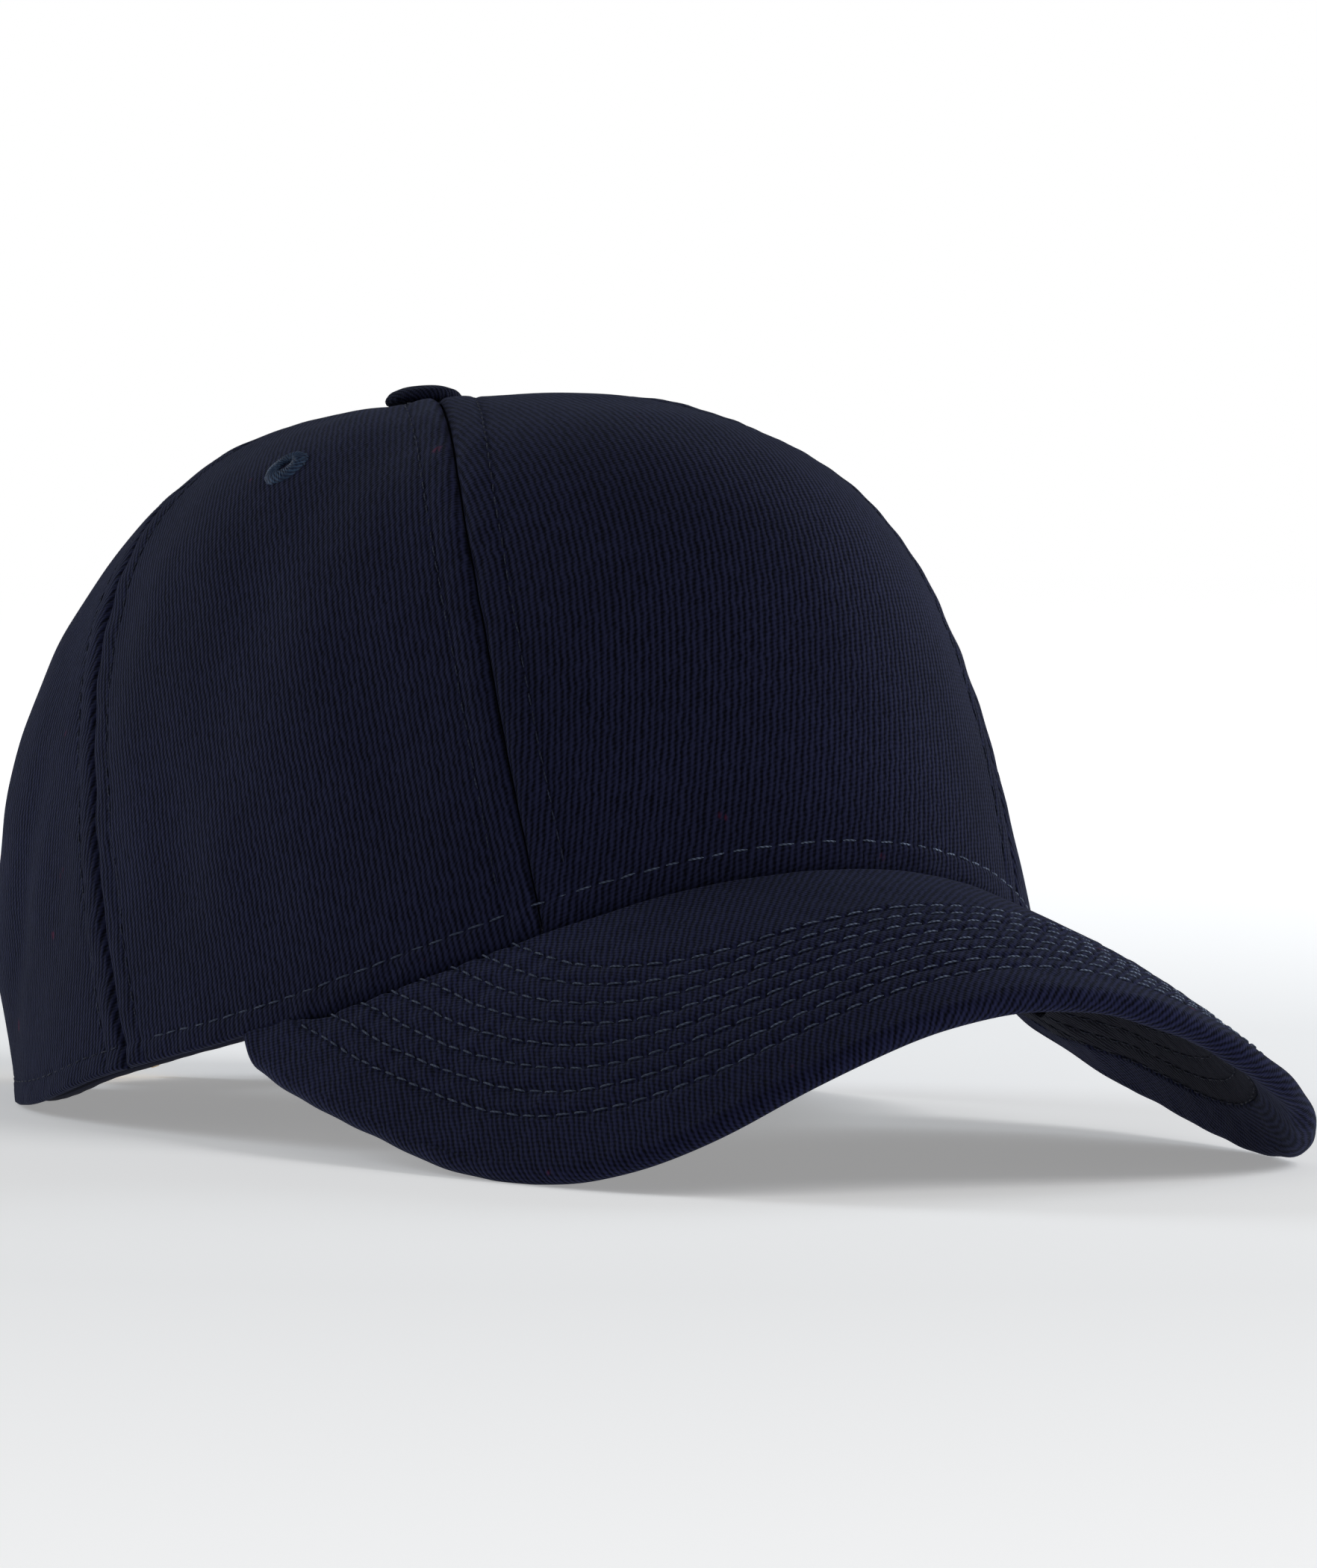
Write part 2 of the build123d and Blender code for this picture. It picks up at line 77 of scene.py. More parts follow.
# Stitching
VISOR_ROWS, FIRST_ROW, ROW_SPACING = 8, 8.2, 4.25
BUTTON_UP = 0.5
TOPSTITCH_IN, HEM_STITCH_IN, BRIGHT_HEM_TO = 6.0, 4.0, 79.0
STITCH_PITCH, STITCH_LENGTH, STITCH_RADIUS = 3.8, 2.75, 0.17
QUIET_STITCH = {"pitch": 3.4, "dash": 2.4, "radius": 0.13}

# Eyelets and clasp: (degrees, t) on the crown, and degrees and height on the strap
SIDE_EYELET, BACK_EYELET = (69.3, 0.673), (149.0, 0.66)
CLASP_THETA, CLASP_HEIGHT = -161.0, 12.0
# The tab's middle line, in millimetres along and out from the clasp: in under the bar, over it and back
TAB_PATH = [(53, 0.58), (14, 0.58), (11.8, 0.70), (9.0, 0.72), (8.2, 0.95), (7.95, 1.8), (8.2, 2.65)]
TAB_PATH += [(9.0, 2.88), (11.8, 2.88), (13.2, 2.45), (15.0, 1.62), (16.5, 1.46), (19.0, 1.44)]
TAB_HALF_THICK = 0.425

# Button: share of the way from its top to under its rim, radius and height there
BUTTON_PROFILE = [(0, 0.02, 3.65), (0.30, 3.6, 3.30), (0.52, 5.9, 2.45), (0.66, 6.75, 1.35)]
BUTTON_PROFILE += [(0.74, 6.75, 0.75), (0.80, 6.4, 0.30), (0.86, 5.6, 0.15), (1.0, 3.4, 0.35)]

# Lamps: name, place, size, watts and colour; all of them aim at the middle of the crown
COOL = (0.86, 0.93, 1.0)
LAMPS = [
    ("key", (0.75, -1.1, 1.3), 1.0, 9.5, (1, 1, 1)),
    ("fill", (-1.4, -1.0, 0.7), 1.2, 0.5, (1, 1, 1)),
    ("rim_left", (-0.85, 1.35, 0.7), 0.8, 9, COOL),
    ("rim_right", (1.4, 0.1, 0.5), 0.8, 8, COOL),
]


# ---------------------------------------------------------------- shape
def smooth(value, start, end):
    v = np.clip((value - start) / (end - start), 0, 1)
    return v * v * (3 - 2 * v)


def to_world(points):
    """Cap frame in millimetres to the row frame in metres."""
    p = np.asarray(points, float)
    c, s = math.cos(TILT), math.sin(TILT)
    y = p[..., 1] * c + p[..., 2] * s
    z = -p[..., 1] * s + p[..., 2] * c
    return (np.stack([p[..., 0], y, z], -1) + ORIGIN_SHIFT) * MM


def mix(values, theta):
    """Value round the crown, from its front, side and back values."""
    along = np.cos(np.radians(theta)) ** 2
    end = np.where(np.cos(np.radians(theta)) >= 0, values[0], values[2])
    return end * along + values[1] * (1 - along)


def bulge(theta):
    """How far the crown swells past its hem, as a share of the hem's radius."""
    behind = 1 - np.sin(np.radians(theta)) ** 4
    back = BULGE[2] * behind + BULGE[1] * (1 - behind)
    return np.where(np.cos(np.radians(theta)) >= 0, mix(BULGE, theta), back)


def oval(theta):
    """The hem's outline: across and forward of the middle."""
    a = np.radians(theta)
    ahead = np.where(np.cos(a) >= 0, FRONT_LENGTH, BACK_LENGTH)
    return HALF_WIDTH * np.sin(a), ahead * np.cos(a)


def visor_rise(across, along):
    """Height of the rolled and drooping visor over its straight slope."""
    roll = np.maximum(VISOR_ROLL + VISOR_TAPER * along, np.abs(across) + 0.01)
    return -(roll - np.sqrt(roll**2 - across**2)) - VISOR_DROOP * (along / 100) ** 2


def visor_along(across, forward):
    """Distance along the slope that lies so far forward of the corner."""
    along = forward / math.cos(VISOR_SLOPE)
    for _ in range(6):
        along = (forward - visor_rise(across, along) * math.sin(VISOR_SLOPE)) / math.cos(VISOR_SLOPE)
    return along


def visor_height(across, forward):
    along = visor_along(across, forward)
    return -along * math.sin(VISOR_SLOPE) + visor_rise(across, along) * math.cos(VISOR_SLOPE)


def far_lift(across, forward):
    """Rise of the worn cap's left corner, given the way across and forward from the visor's corner."""
    return FAR_HEM_LIFT * smooth(across, 40, 72) * (1 - smooth(forward, 0, 32))


CORNER_ACROSS, CORNER_FORWARD = (float(v) for v in oval(VISOR_CORNER))
CORNER_LIFT = -float(visor_height(CORNER_ACROSS, 0.0))


def hem_height(theta):
    """Height of the hem: on the visor in front, dipping at the sides and rising behind."""
    across, forward = oval(theta)
    turn = np.abs((np.asarray(theta) + 180) % 360 - 180)
    on_visor = visor_height(across, forward - CORNER_FORWARD) + CORNER_LIFT
    on_visor = on_visor + far_lift(across, forward - CORNER_FORWARD)
    way = np.clip((turn - VISOR_CORNER) / (180 - VISOR_CORNER), 0, 1)
    falling = -HEM_DIP * np.sin(np.pi / 2 * way / HEM_LOWEST_AT)
    onward = np.clip((way - HEM_LOWEST_AT) / (1 - HEM_LOWEST_AT), 0, 1)
    rising = -HEM_DIP + (HEM_DIP + HEM_RISE_AT_BACK) * (1 - np.cos(np.pi * onward)) / 2
    behind = np.where(way < HEM_LOWEST_AT, falling, rising)
    signed = (np.asarray(theta) + 180) % 360 - 180
    behind = behind + FAR_HEM_LIFT * (signed > 0) * (1 - smooth(signed, 90, 114))
    wave = np.exp(-(((signed + 87) / 13) ** 2)) * smooth(-signed, VISOR_CORNER, 76)
    behind = behind + NEAR_HEM_LIFT * wave
    return np.where(turn < VISOR_CORNER, on_visor, behind)


def crown_surface(theta, t):
    """The plain crown: theta in degrees from the front, t from the hem (0) to the button (1)."""
    theta, t = np.broadcast_arrays(np.asarray(theta, float), np.asarray(t, float))
    low = hem_height(theta)
    b0, b1, b2, b3 = (1 - t) ** 3, 3 * (1 - t) ** 2 * t, 3 * (1 - t) * t**2, t**3
    radius = b0 + b1 * (1 + bulge(theta)) + b2 * mix(SHOULDER, theta)
    height = b0 * low + b1 * (low + mix(RISE, theta) * (CROWN_HEIGHT - low))
    height = height + b2 * (CROWN_HEIGHT - mix(ROUNDING, theta)) + b3 * CROWN_HEIGHT
    across, forward = oval(theta)
    return np.stack([radius * across, BUTTON_SETBACK - radius * (forward + BUTTON_SETBACK), height], -1)


def unit(v):
    return v / np.maximum(np.linalg.norm(v, axis=-1, keepdims=True), 1e-9)


def running_length(line):
    """Distance along a line of points, from its start."""
    return np.concatenate([[0], np.cumsum(np.linalg.norm(np.diff(line, axis=0), axis=-1))])


def rotate_flat(pattern, angle):
    """Flat coordinates rotated by some degrees."""
    c, s = math.cos(math.radians(angle)), math.sin(math.radians(angle))
    x, y = pattern[..., 0], pattern[..., 1]
    return np.stack([x * c - y * s, x * s + y * c], -1)


def closed_ring(grid):
    """A grid whose first column is repeated after its last."""
    return np.concatenate([grid, grid[:, :1]], 1)


def crown_normal(theta, t):
    """Direction straight out of the plain crown."""
    across = crown_surface(theta + 0.2, t) - crown_surface(theta - 0.2, t)
    up = crown_surface(theta, np.minimum(t + 0.002, 0.999)) - crown_surface(theta, t - 0.002)
    return unit(np.cross(across, up))


def crown(theta, t, lift=0.0):
    """Points of the crown, moved outward by lift."""
    theta, t = np.broadcast_arrays(np.asarray(theta, float), np.asarray(t, float))
    return crown_surface(theta, t) + crown_normal(theta, t) * np.asarray(lift)[..., None]


def spread(theta, t, distance):
    """Degrees of theta that a distance round the crown takes up."""
    run = np.linalg.norm(crown_surface(theta + 0.2, t) - crown_surface(theta - 0.2, t), axis=-1) / 0.4
    return distance / run


def seam(line, t):
    """Theta of a seam: its foot, its top and the bow between them."""
    return line[0] + (line[1] - line[0]) * t + line[2] * 4 * t * (1 - t)


def t_at_height(theta, height):
    """How far up each meridian a straight distance from the hem is reached."""
    theta = np.asarray(theta, float)
    base = crown_surface(theta, 0 * theta)
    low, high = np.zeros_like(theta), np.full_like(theta, 0.9)
    for _ in range(30):
        middle = (low + high) / 2
        short = np.linalg.norm(crown_surface(theta, middle) - base, axis=-1) < height
        low, high = np.where(short, middle, low), np.where(short, high, middle)
    return low


def nose_curve(angle):
    """Rounded nose of the visor, one unit wide and one long."""
    low, high = np.full_like(angle, 0.9), np.full_like(angle, 1.5)
    for _ in range(30):
        middle = (low + high) / 2
        short = (middle * np.cos(angle)) ** SIDE_POWER + (middle * np.sin(angle)) ** NOSE_POWER < 1
        low, high = np.where(short, middle, low), np.where(short, high, middle)
    return low * np.cos(angle), low * np.sin(angle)


def corner_pattern():
    """The visor's corner on the flat pattern."""
    along = float(visor_along(CORNER_ACROSS, 0.0))
    roll = VISOR_ROLL + VISOR_TAPER * along
    return roll * math.asin(CORNER_ACROSS / roll), along


CORNER_S, CORNER_A = corner_pattern()


def visor_edge(u):
    """Edge of the flat pattern from corner (-1) round the nose (0) to corner (1)."""
    u = np.asarray(u, float)
    way = 1 - np.abs(u)
    v = np.clip(1 - way / SIDE_SHARE, 0, 2)
    side_s = VISOR_WIDEST - (VISOR_WIDEST - CORNER_S) * v**CORNER_POWER
    side_a = VISOR_WIDEST_AT - (VISOR_WIDEST_AT - CORNER_A) * v
    x, y = nose_curve(np.pi / 2 * np.clip((way - SIDE_SHARE) / (1 - SIDE_SHARE), 0, 1))
    on_side = way < SIDE_SHARE
    across = np.where(on_side, side_s, VISOR_WIDEST * x)
    along = np.where(on_side, side_a, VISOR_WIDEST_AT + VISOR_REACH * y)
    return np.stack([np.where(u >= 0, 1, -1) * across, along], -1)


def edge_outward(u):
    """Direction out over the visor's edge, on the flat pattern."""
    run = unit(visor_edge(u + 0.004) - visor_edge(u - 0.004))
    return np.stack([-run[..., 1], run[..., 0]], -1)


def visor_joint(u, gap):
    """Where the visor meets the crown, a gap outside it, on the flat pattern."""
    theta = VISOR_CORNER * np.asarray(u, float)
    across, forward = oval(theta)
    across = across * (1 + gap / HALF_WIDTH)
    forward = forward + FRONT_LENGTH * gap / HALF_WIDTH * np.cos(np.radians(theta))
    along = visor_along(across, forward - CORNER_FORWARD)
    roll = VISOR_ROLL + VISOR_TAPER * along
    return np.stack([roll * np.arcsin(np.clip(across / roll, -1, 1)), along], -1)


def visor_surface(pattern):
    """Cap-frame points of the visor's top, from its flat pattern."""
    across, along = pattern[..., 0], pattern[..., 1]
    roll = VISOR_ROLL + VISOR_TAPER * along
    x = roll * np.sin(across / roll)
    rise = visor_rise(x, along)
    forward = CORNER_FORWARD + along * math.cos(VISOR_SLOPE) + rise * math.sin(VISOR_SLOPE)
    height = CORNER_LIFT - along * math.sin(VISOR_SLOPE) + rise * math.cos(VISOR_SLOPE)
    clear = (np.hypot(x / HALF_WIDTH, forward / FRONT_LENGTH) - 1) * HALF_WIDTH
    x = x + FAR_SIDE_OUT * smooth(across, 30, 85) * smooth(clear, 0, 12)
    height = height + far_lift(across, forward - CORNER_FORWARD)
    height = height + FAR_SIDE_UP * np.exp(-(((across - 62) / 16) ** 2)) * smooth(along, 25, 60)
    return np.stack([x, -forward, height], -1)


def visor_point(pattern, lift=0.0):
    """Points of the visor, moved off its top by lift."""
    right = visor_surface(pattern + [0.2, 0]) - visor_surface(pattern - [0.2, 0])
    out = visor_surface(pattern + [0, 0.2]) - visor_surface(pattern - [0, 0.2])
    return visor_surface(pattern) + unit(np.cross(out, right)) * np.asarray(lift)[..., None]


# ---------------------------------------------------------------- softness
def waves(points, wavelength, count, seed):
    """Smooth wandering noise over points in millimetres, about -1 to 1."""
    rng = np.random.default_rng(seed)
    total = np.zeros(points.shape[:-1])
    for _ in range(count):
        direction = unit(rng.normal(size=3))
        length = wavelength * rng.uniform(0.7, 1.5)
        total += np.sin(points @ direction * (2 * np.pi / length) + rng.uniform(0, 2 * np.pi))
    return total / math.sqrt(count)


def ridge(theta, t, ends, width, depth):
    """A long soft fold between two (degrees, t) places."""
    a, b = crown_surface(*ends[0]), crown_surface(*ends[1])
    p = crown_surface(theta, t)
    along = np.clip(((p - a) @ (b - a)) / ((b - a) @ (b - a)), 0, 1)
    off = np.linalg.norm(p - (a + along[..., None] * (b - a)), axis=-1)
    fade = np.sin(np.pi * np.clip(along * 0.9 + 0.05, 0, 1)) ** 0.7
    return depth * fade * np.exp(-((off / width) ** 2))


def softness(theta, t):
    """How far the worn cloth stands off the plain crown, the same for every layer."""
    theta, t = np.broadcast_arrays(np.asarray(theta, float), np.asarray(t, float))
    p = crown_surface(theta, t)
    turn = np.abs((theta + 180) % 360 - 180)
    stiff = 1 - smooth(turn, 25, 55)
    loose = waves(p, 46, 5, 3) * (0.55 - 0.3 * stiff) + waves(p, 17, 6, 4) * (0.16 - 0.1 * stiff)
    fold = ridge(theta, t, ((14, 0.97), (31, 0.66)), 7.0, -1.1)
    fold = fold + ridge(theta, t, ((-112, 0.36), (-118, 0.04)), 6.0, -1.2)
    fold = fold + ridge(theta, t, ((-124, 0.40), (-129, 0.05)), 6.5, 0.7)
    fold = fold + ridge(theta, t, ((-55, 0.9), (-72, 0.45)), 9.0, -0.6)
    calm = smooth(t, 0.0, 0.16) * (1 - smooth(t, 0.93, 1.0))
    shoulder = crown_surface(np.array(36.0), np.array(0.80))
    hollow = crown_surface(np.array(-119.0), np.array(0.62))
    full = 1.25 * np.exp(-(np.linalg.norm(p - shoulder, axis=-1) / 23) ** 2)
    full = full - 1.3 * np.exp(-(np.linalg.norm(p - hollow, axis=-1) / 30) ** 2)
    return (loose + fold) * (0.12 + 0.88 * calm) + full


# ---------------------------------------------------------------- meshes
def make_mesh(name, points, faces, weave=None):
    mesh = bpy.data.meshes.new(name)
    mesh.from_pydata(points.tolist(), [], faces.tolist())
    if weave is not None:
        corners = np.zeros(len(mesh.loops), np.int32)
        mesh.loops.foreach_get("vertex_index", corners)
        layer = mesh.uv_layers.new(name="weave")
        layer.data.foreach_set("uv", weave[corners].astype(np.float32).ravel())
    mesh.polygons.foreach_set("use_smooth", np.ones(len(mesh.polygons), bool))
    mesh.update()
    piece = bpy.data.objects.new(name, mesh)
    bpy.context.scene.collection.objects.link(piece)
    return piece


def grid_faces(rows, cols, start=0):
    i = np.arange(rows - 1)[:, None] * cols + np.arange(cols - 1)[None, :] + start
    return np.stack([i, i + 1, i + cols + 1, i + cols], -1).reshape(-1, 4)


def rim_loop(rows, cols):
    i = np.arange(rows * cols).reshape(rows, cols)
    return np.concatenate([i[0, :-1], i[:-1, -1], i[-1, :0:-1], i[:0:-1, 0]])


def sheet_mesh(name, outer, inner, weave):
    """Closed cloth between two matching grids of points in the cap frame."""
    rows, cols = outer.shape[:2]
    count = rows * cols
    loop = rim_loop(rows, cols)
    after = np.roll(loop, -1)
    walls = np.stack([loop, loop + count, after + count, after], -1)
    faces = np.concatenate([grid_faces(rows, cols), grid_faces(rows, cols, count)[:, ::-1], walls])
    points = to_world(np.concatenate([outer.reshape(-1, 3), inner.reshape(-1, 3)]))
    flat = weave.reshape(-1, 2) * MM
    return make_mesh(name, points, faces, np.concatenate([flat, flat]))


def arc_across(theta, t, centre):
    """Distance round the crown from a centre line, at one t."""
    steps, total = 10, 0.0
    last = crown_surface(centre, t)
    for k in range(1, steps + 1):
        here = crown_surface(centre + (theta - centre) * k / steps, t)
        total = total + np.linalg.norm(here - last, axis=-1)
        last = here
    return total * np.sign(theta - centre)


def arc_up(t, theta):
    """Distance up one meridian, at every t."""
    table_t = np.linspace(-0.05, 1, 400)
    p = crown_surface(np.full_like(table_t, theta), table_t)
    return np.interp(t, table_t, running_length(p))


def crown_weave(theta, t, centre, lean):
    """Weave coordinates in millimetres, with the ribs leaning from upright by an angle."""
    return rotate_flat(np.stack([arc_across(theta, t, centre), arc_up(t, centre)], -1), lean)


def roll_in(distance, radius):
    """How far an edge of that radius has turned under, at a distance from it."""
    x = np.clip(1 - distance / radius, 0, 1)
    return radius * (1 - np.sqrt(np.maximum(1 - x * x, 0)))


def groove(distance, at, width=0.55, depth=0.3):
    """Dent that a row of stitches pulls into the cloth."""
    return -depth * np.exp(-(((distance - at) / width) ** 2))


# Distances that the grids keep from a seam and from the hem, so that grooves fall on their lines
NEAR_SEAM = np.array([0, 0.25, 0.5, 0.8, 1.2, 1.8, 2.6, 3.6, 4.6, 5.2, 5.6, 6.0, 6.4, 6.8, 7.5])
NEAR_HEM = np.array([0, 0.2, 0.45, 0.8, 1.3, 2.0, 2.8, 3.3, 3.7, 4.0, 4.3, 4.7, 5.3])
SEAM_GAP = 0.2


def seam_scale(left, right, t):
    """The seam margins shrink where the panel narrows towards the button."""
    middle = (left + right) / 2
    width = (right - left) / spread(middle, t, 1.0)
    return np.minimum(1, width / (2.4 * NEAR_SEAM[-1]))


def tuck(theta):
    """How far the front hem is drawn down behind the visor."""
    inside = np.clip((VISOR_CORNER - np.abs(theta)) / 20, 0, 1)
    return HEM_TUCK * inside**2 * (3 - 2 * inside)


def panel_grid(left, right, columns, rows):
    """(theta, t) grid between two seams, with fine lines along the seams and the hem."""
    around, step = np.linspace(-180, 200, 200), 0.02
    first_step = crown_surface(around, 0 * around + step) - crown_surface(around, 0 * around)
    rise = np.linalg.norm(first_step, axis=-1) / step
    upper = np.linspace(0, 1, rows - len(NEAR_HEM) + 1)[1:]

    def lines(t):
        a, b = left(t), right(t)
        scale = seam_scale(a, b, t)
        near = NEAR_SEAM * scale + SEAM_GAP
        first = a + spread(a, t, near)
        last = b - spread(b, t, near[::-1])
        inner = np.linspace(first[-1], last[0], columns - 2 * len(NEAR_SEAM) + 2)[1:-1]
        return np.concatenate([first, inner, last])

    base = lines(0.0)
    start = NEAR_HEM[:, None] / np.interp(base, around, rise)[None, :]
    top = start[-1] + upper[:, None] * (APEX - start[-1])
    t = np.concatenate([start, top])
    level = np.linspace(0, 1, 160) * APEX
    table = np.stack([lines(k) for k in level])
    theta = np.stack([np.interp(t[:, c], level, table[:, c]) for c in range(columns)], 1)
    t[:1] -= tuck(theta[:1])
    return theta, t


def hem_distance(theta, t):
    """Height above the hem, near it, in millimetres."""
    low = crown_surface(theta, 0 * t)
    return np.linalg.norm(crown_surface(theta, t) - low, axis=-1) * np.sign(t)


def pucker(theta, t, distance, reach):
    """Small regular pull of a stitched line on the cloth beside it."""
    p = crown_surface(theta, t)
    return 0.16 * waves(p, 7.5, 5, 9) * np.exp(-((distance / reach) ** 2))


def panel_lift(theta, t, from_left, from_right, stitched):
    """Outside relief of a panel: rolled seam edges, sewn-down allowance, topstitch grooves, hem."""
    up = hem_distance(theta, np.maximum(t, 0))
    lift = np.zeros_like(theta)
    for distance in (from_left, from_right):
        lift -= 0.85 * np.exp(-((distance / 0.75) ** 2))
        lift += 0.28 * np.exp(-(((distance - 3.2) / 2.4) ** 2))
        lift += groove(distance, TOPSTITCH_IN, 0.6, stitched)
        lift += pucker(theta, t, distance, 6)
    lift += 0.22 * (1 - smooth(up, 3.8, 5.2)) + groove(up, HEM_STITCH_IN, 0.6, 0.3)
    lift += pucker(theta, t, up, 5)
    return lift - roll_in(np.maximum(up, 0), 0.5)


def panel_piece(name, left, right, centre, lean, stitched, columns=150, rows=150):
    theta, t = panel_grid(left, right, columns, rows)
    from_left = (theta - left(t)) / spread(theta, t, 1.0)
    from_right = (right(t) - theta) / spread(theta, t, 1.0)
    scale = seam_scale(left(t), right(t), t)
    lift = panel_lift(theta, t, from_left / scale, from_right / scale, stitched)
    lift = lift * np.minimum(scale * 1.4, 1)
    base = softness(theta, t)
    outer, inner = crown(theta, t, base + lift), crown(theta, t, base - CLOTH)
    return sheet_mesh(name, outer, inner, crown_weave(theta, t, centre, lean))


# ---------------------------------------------------------------- half-moon opening
def arch_path(steps, start):
    """(x, z) up the side of the opening, round to its top and down the other side."""
    half, spring, top = ARCH_HALF_WIDTH, ARCH_SPRING, ARCH_HEIGHT
    rise = top - spring
    radius = (half**2 + rise**2) / (2 * rise)
    sweep = math.asin(half / radius)
    angle = np.linspace(sweep, 0, steps)
    x = np.concatenate([np.full(steps // 2, half), radius * np.sin(angle)])
    upright = np.linspace(start, spring, steps // 2, endpoint=False)
    z = np.concatenate([upright, top - radius * (1 - np.cos(angle))])
    x, z = np.concatenate([x, -x[-2::-1]]), np.concatenate([z, z[-2::-1]])
    return np.stack([x, z], -1)


def find_on_back(x, z):
    """(theta, t) of the crown at a place seen from behind; z is above the back hem."""
    theta, t = np.degrees(np.arcsin(np.clip(x / HALF_WIDTH, -0.99, 0.99))), np.full(x.shape, 0.3)
    theta = 180 - theta
    for _ in range(14):
        low, high = np.full(x.shape, -0.08), np.full(x.shape, 0.9)
        for _ in range(22):
            t = (low + high) / 2
            short = crown_surface(theta, t)[..., 2] < z + HEM_RISE_AT_BACK
            low, high = np.where(short, t, low), np.where(short, high, t)
        reach = crown_surface(theta, t)[..., 0] / np.sin(np.radians(theta))
        theta = 180 - np.degrees(np.arcsin(np.clip(x / np.maximum(reach, 1), -0.99, 0.99)))
    return theta, t


def low_height(theta, t):
    """Height above the hem, straight up."""
    return crown_surface(theta, t)[..., 2] - crown_surface(theta, 0 * t)[..., 2]


def back_panel_bottom(columns):
    """(theta, t) along the hem from the rear seam, up the opening's side and over to its middle."""
    steps = 120
    arch = arch_path(steps, 0.0)[: steps // 2 + steps]
    arch_theta, arch_t = find_on_back(arch[:, 0], arch[:, 1])
    hem_theta = np.linspace(REAR_SEAM[0], arch_theta[0], 90)[:-1]
    theta, t = np.concatenate([hem_theta, arch_theta]), np.concatenate([0 * hem_theta, arch_t])
    along = running_length(crown_surface(theta, t))
    rest = np.linspace(NEAR_SEAM[-1], along[-1] - SEAM_GAP, columns - len(NEAR_SEAM) + 1)[1:]
    at = np.concatenate([NEAR_SEAM, rest])
    at[0] = SEAM_GAP
    return np.stack([np.interp(at, along, theta), np.interp(at, along, t)], -1), at / along[-1]


def filled_patch(bottom, top, left, right, u, v):
    """Coons patch of (theta, t) between four edges that share their corners."""
    U, V = u[None, :, None], v[:, None, None]
    grid = (1 - V) * bottom[None] + V * top[None] + (1 - U) * left[:, None] + U * right[:, None]
    grid = grid - (1 - U) * (1 - V) * bottom[0] - U * (1 - V) * bottom[-1]
    return grid - (1 - U) * V * top[0] - U * V * top[-1]


def back_panel_grid(columns, rows):
    bottom, u = back_panel_bottom(columns)
    near, scale = len(NEAR_HEM), 150
    v = np.concatenate([NEAR_HEM / scale, np.linspace(NEAR_HEM[-1] / scale, 1, rows - near + 1)[1:]])
    top_seam = seam(REAR_SEAM, APEX)
    top = np.stack([top_seam + (180 - top_seam) * u, np.full_like(u, APEX)], -1)
    left = np.stack([seam(REAR_SEAM, v * APEX), v * APEX], -1)
    centre_t = bottom[-1, 1] + (APEX - bottom[-1, 1]) * v
    right = np.stack([np.full_like(v, bottom[-1, 0]) + (180 - bottom[-1, 0]) * v, centre_t], -1)
    grid = filled_patch(bottom, top, left, right, u, v)
    return grid[..., 0], grid[..., 1], bottom


def back_panel(name, side):
    """Panel from the rear seam to the middle of the back, with the half-moon cut from it."""
    theta, t, bottom = back_panel_grid(150, 130)
    edge = crown_surface(bottom[None, :, 0], bottom[None, :, 1])
    up = np.linalg.norm(crown_surface(theta, t) - edge, axis=-1)
    up[1:] = np.maximum(up[1:], 0.01)
    narrow = np.clip((180 - seam(REAR_SEAM, t)) / spread(theta, t, 1.0) / 18, 0.05, 1)
    from_seam = (theta - seam(REAR_SEAM, t)) / spread(theta, t, 1.0) / narrow
    from_middle = np.abs(180 - theta) / spread(theta, t, 1.0) / narrow
    middle = np.where(t > bottom[-1, 1], from_middle, 99.0)
    lift = panel_lift(theta, t, from_seam, middle, 0.22)
    hem_part = groove(up, HEM_STITCH_IN, 0.6, 0.3) - roll_in(up, 0.5) + 0.2 * (1 - smooth(up, 3.8, 5.2))
    lift = lift + hem_part * (np.abs(low_height(theta, t)) > HEM_STITCH_IN)
    if side < 0:
        theta, t, lift = -theta[:, ::-1], t[:, ::-1], lift[:, ::-1]
    base = softness(theta, t)
    outer, inner = crown(theta, t, base + lift), crown(theta, t, base - CLOTH)
    return sheet_mesh(name, outer, inner, crown_weave(theta, t, 140.0 * side, -8))


# ---------------------------------------------------------------- other crown cloth
def band_piece(name, start, end, bottom, top, depth, relief, columns=220, rows=26, lean=0.0):
    """Cloth that follows the hem between two heights, with relief(across, up) on both its faces."""
    theta = np.linspace(start, end, columns)[None, :] * np.ones((rows, 1))
    low, high = t_at_height(theta[0], bottom), t_at_height(theta[0], top)
    v = (1 - np.cos(np.linspace(0, np.pi, rows))) / 2
    t = low + (high - low) * v[:, None]
    across, up = arc_across(theta, t, (start + end) / 2), bottom + (top - bottom) * v[:, None] + 0 * theta
    from_edge = np.minimum(up - bottom, top - up)
    from_end = np.minimum(np.abs(theta - start), np.abs(theta - end)) / spread(theta, t, 1.0)
    thick = depth[1] - depth[0]
    turned = roll_in(from_edge, thick * 0.45) + roll_in(from_end, thick * 0.45)
    base = softness(theta, t)
    bump = relief(across, up, from_edge)
    outer = crown(theta, t, base - depth[0] - turned + bump[0])
    inner = crown(theta, t, base - depth[1] + turned + bump[1])
    return sheet_mesh(name, outer, inner, rotate_flat(np.stack([across, up], -1), lean))


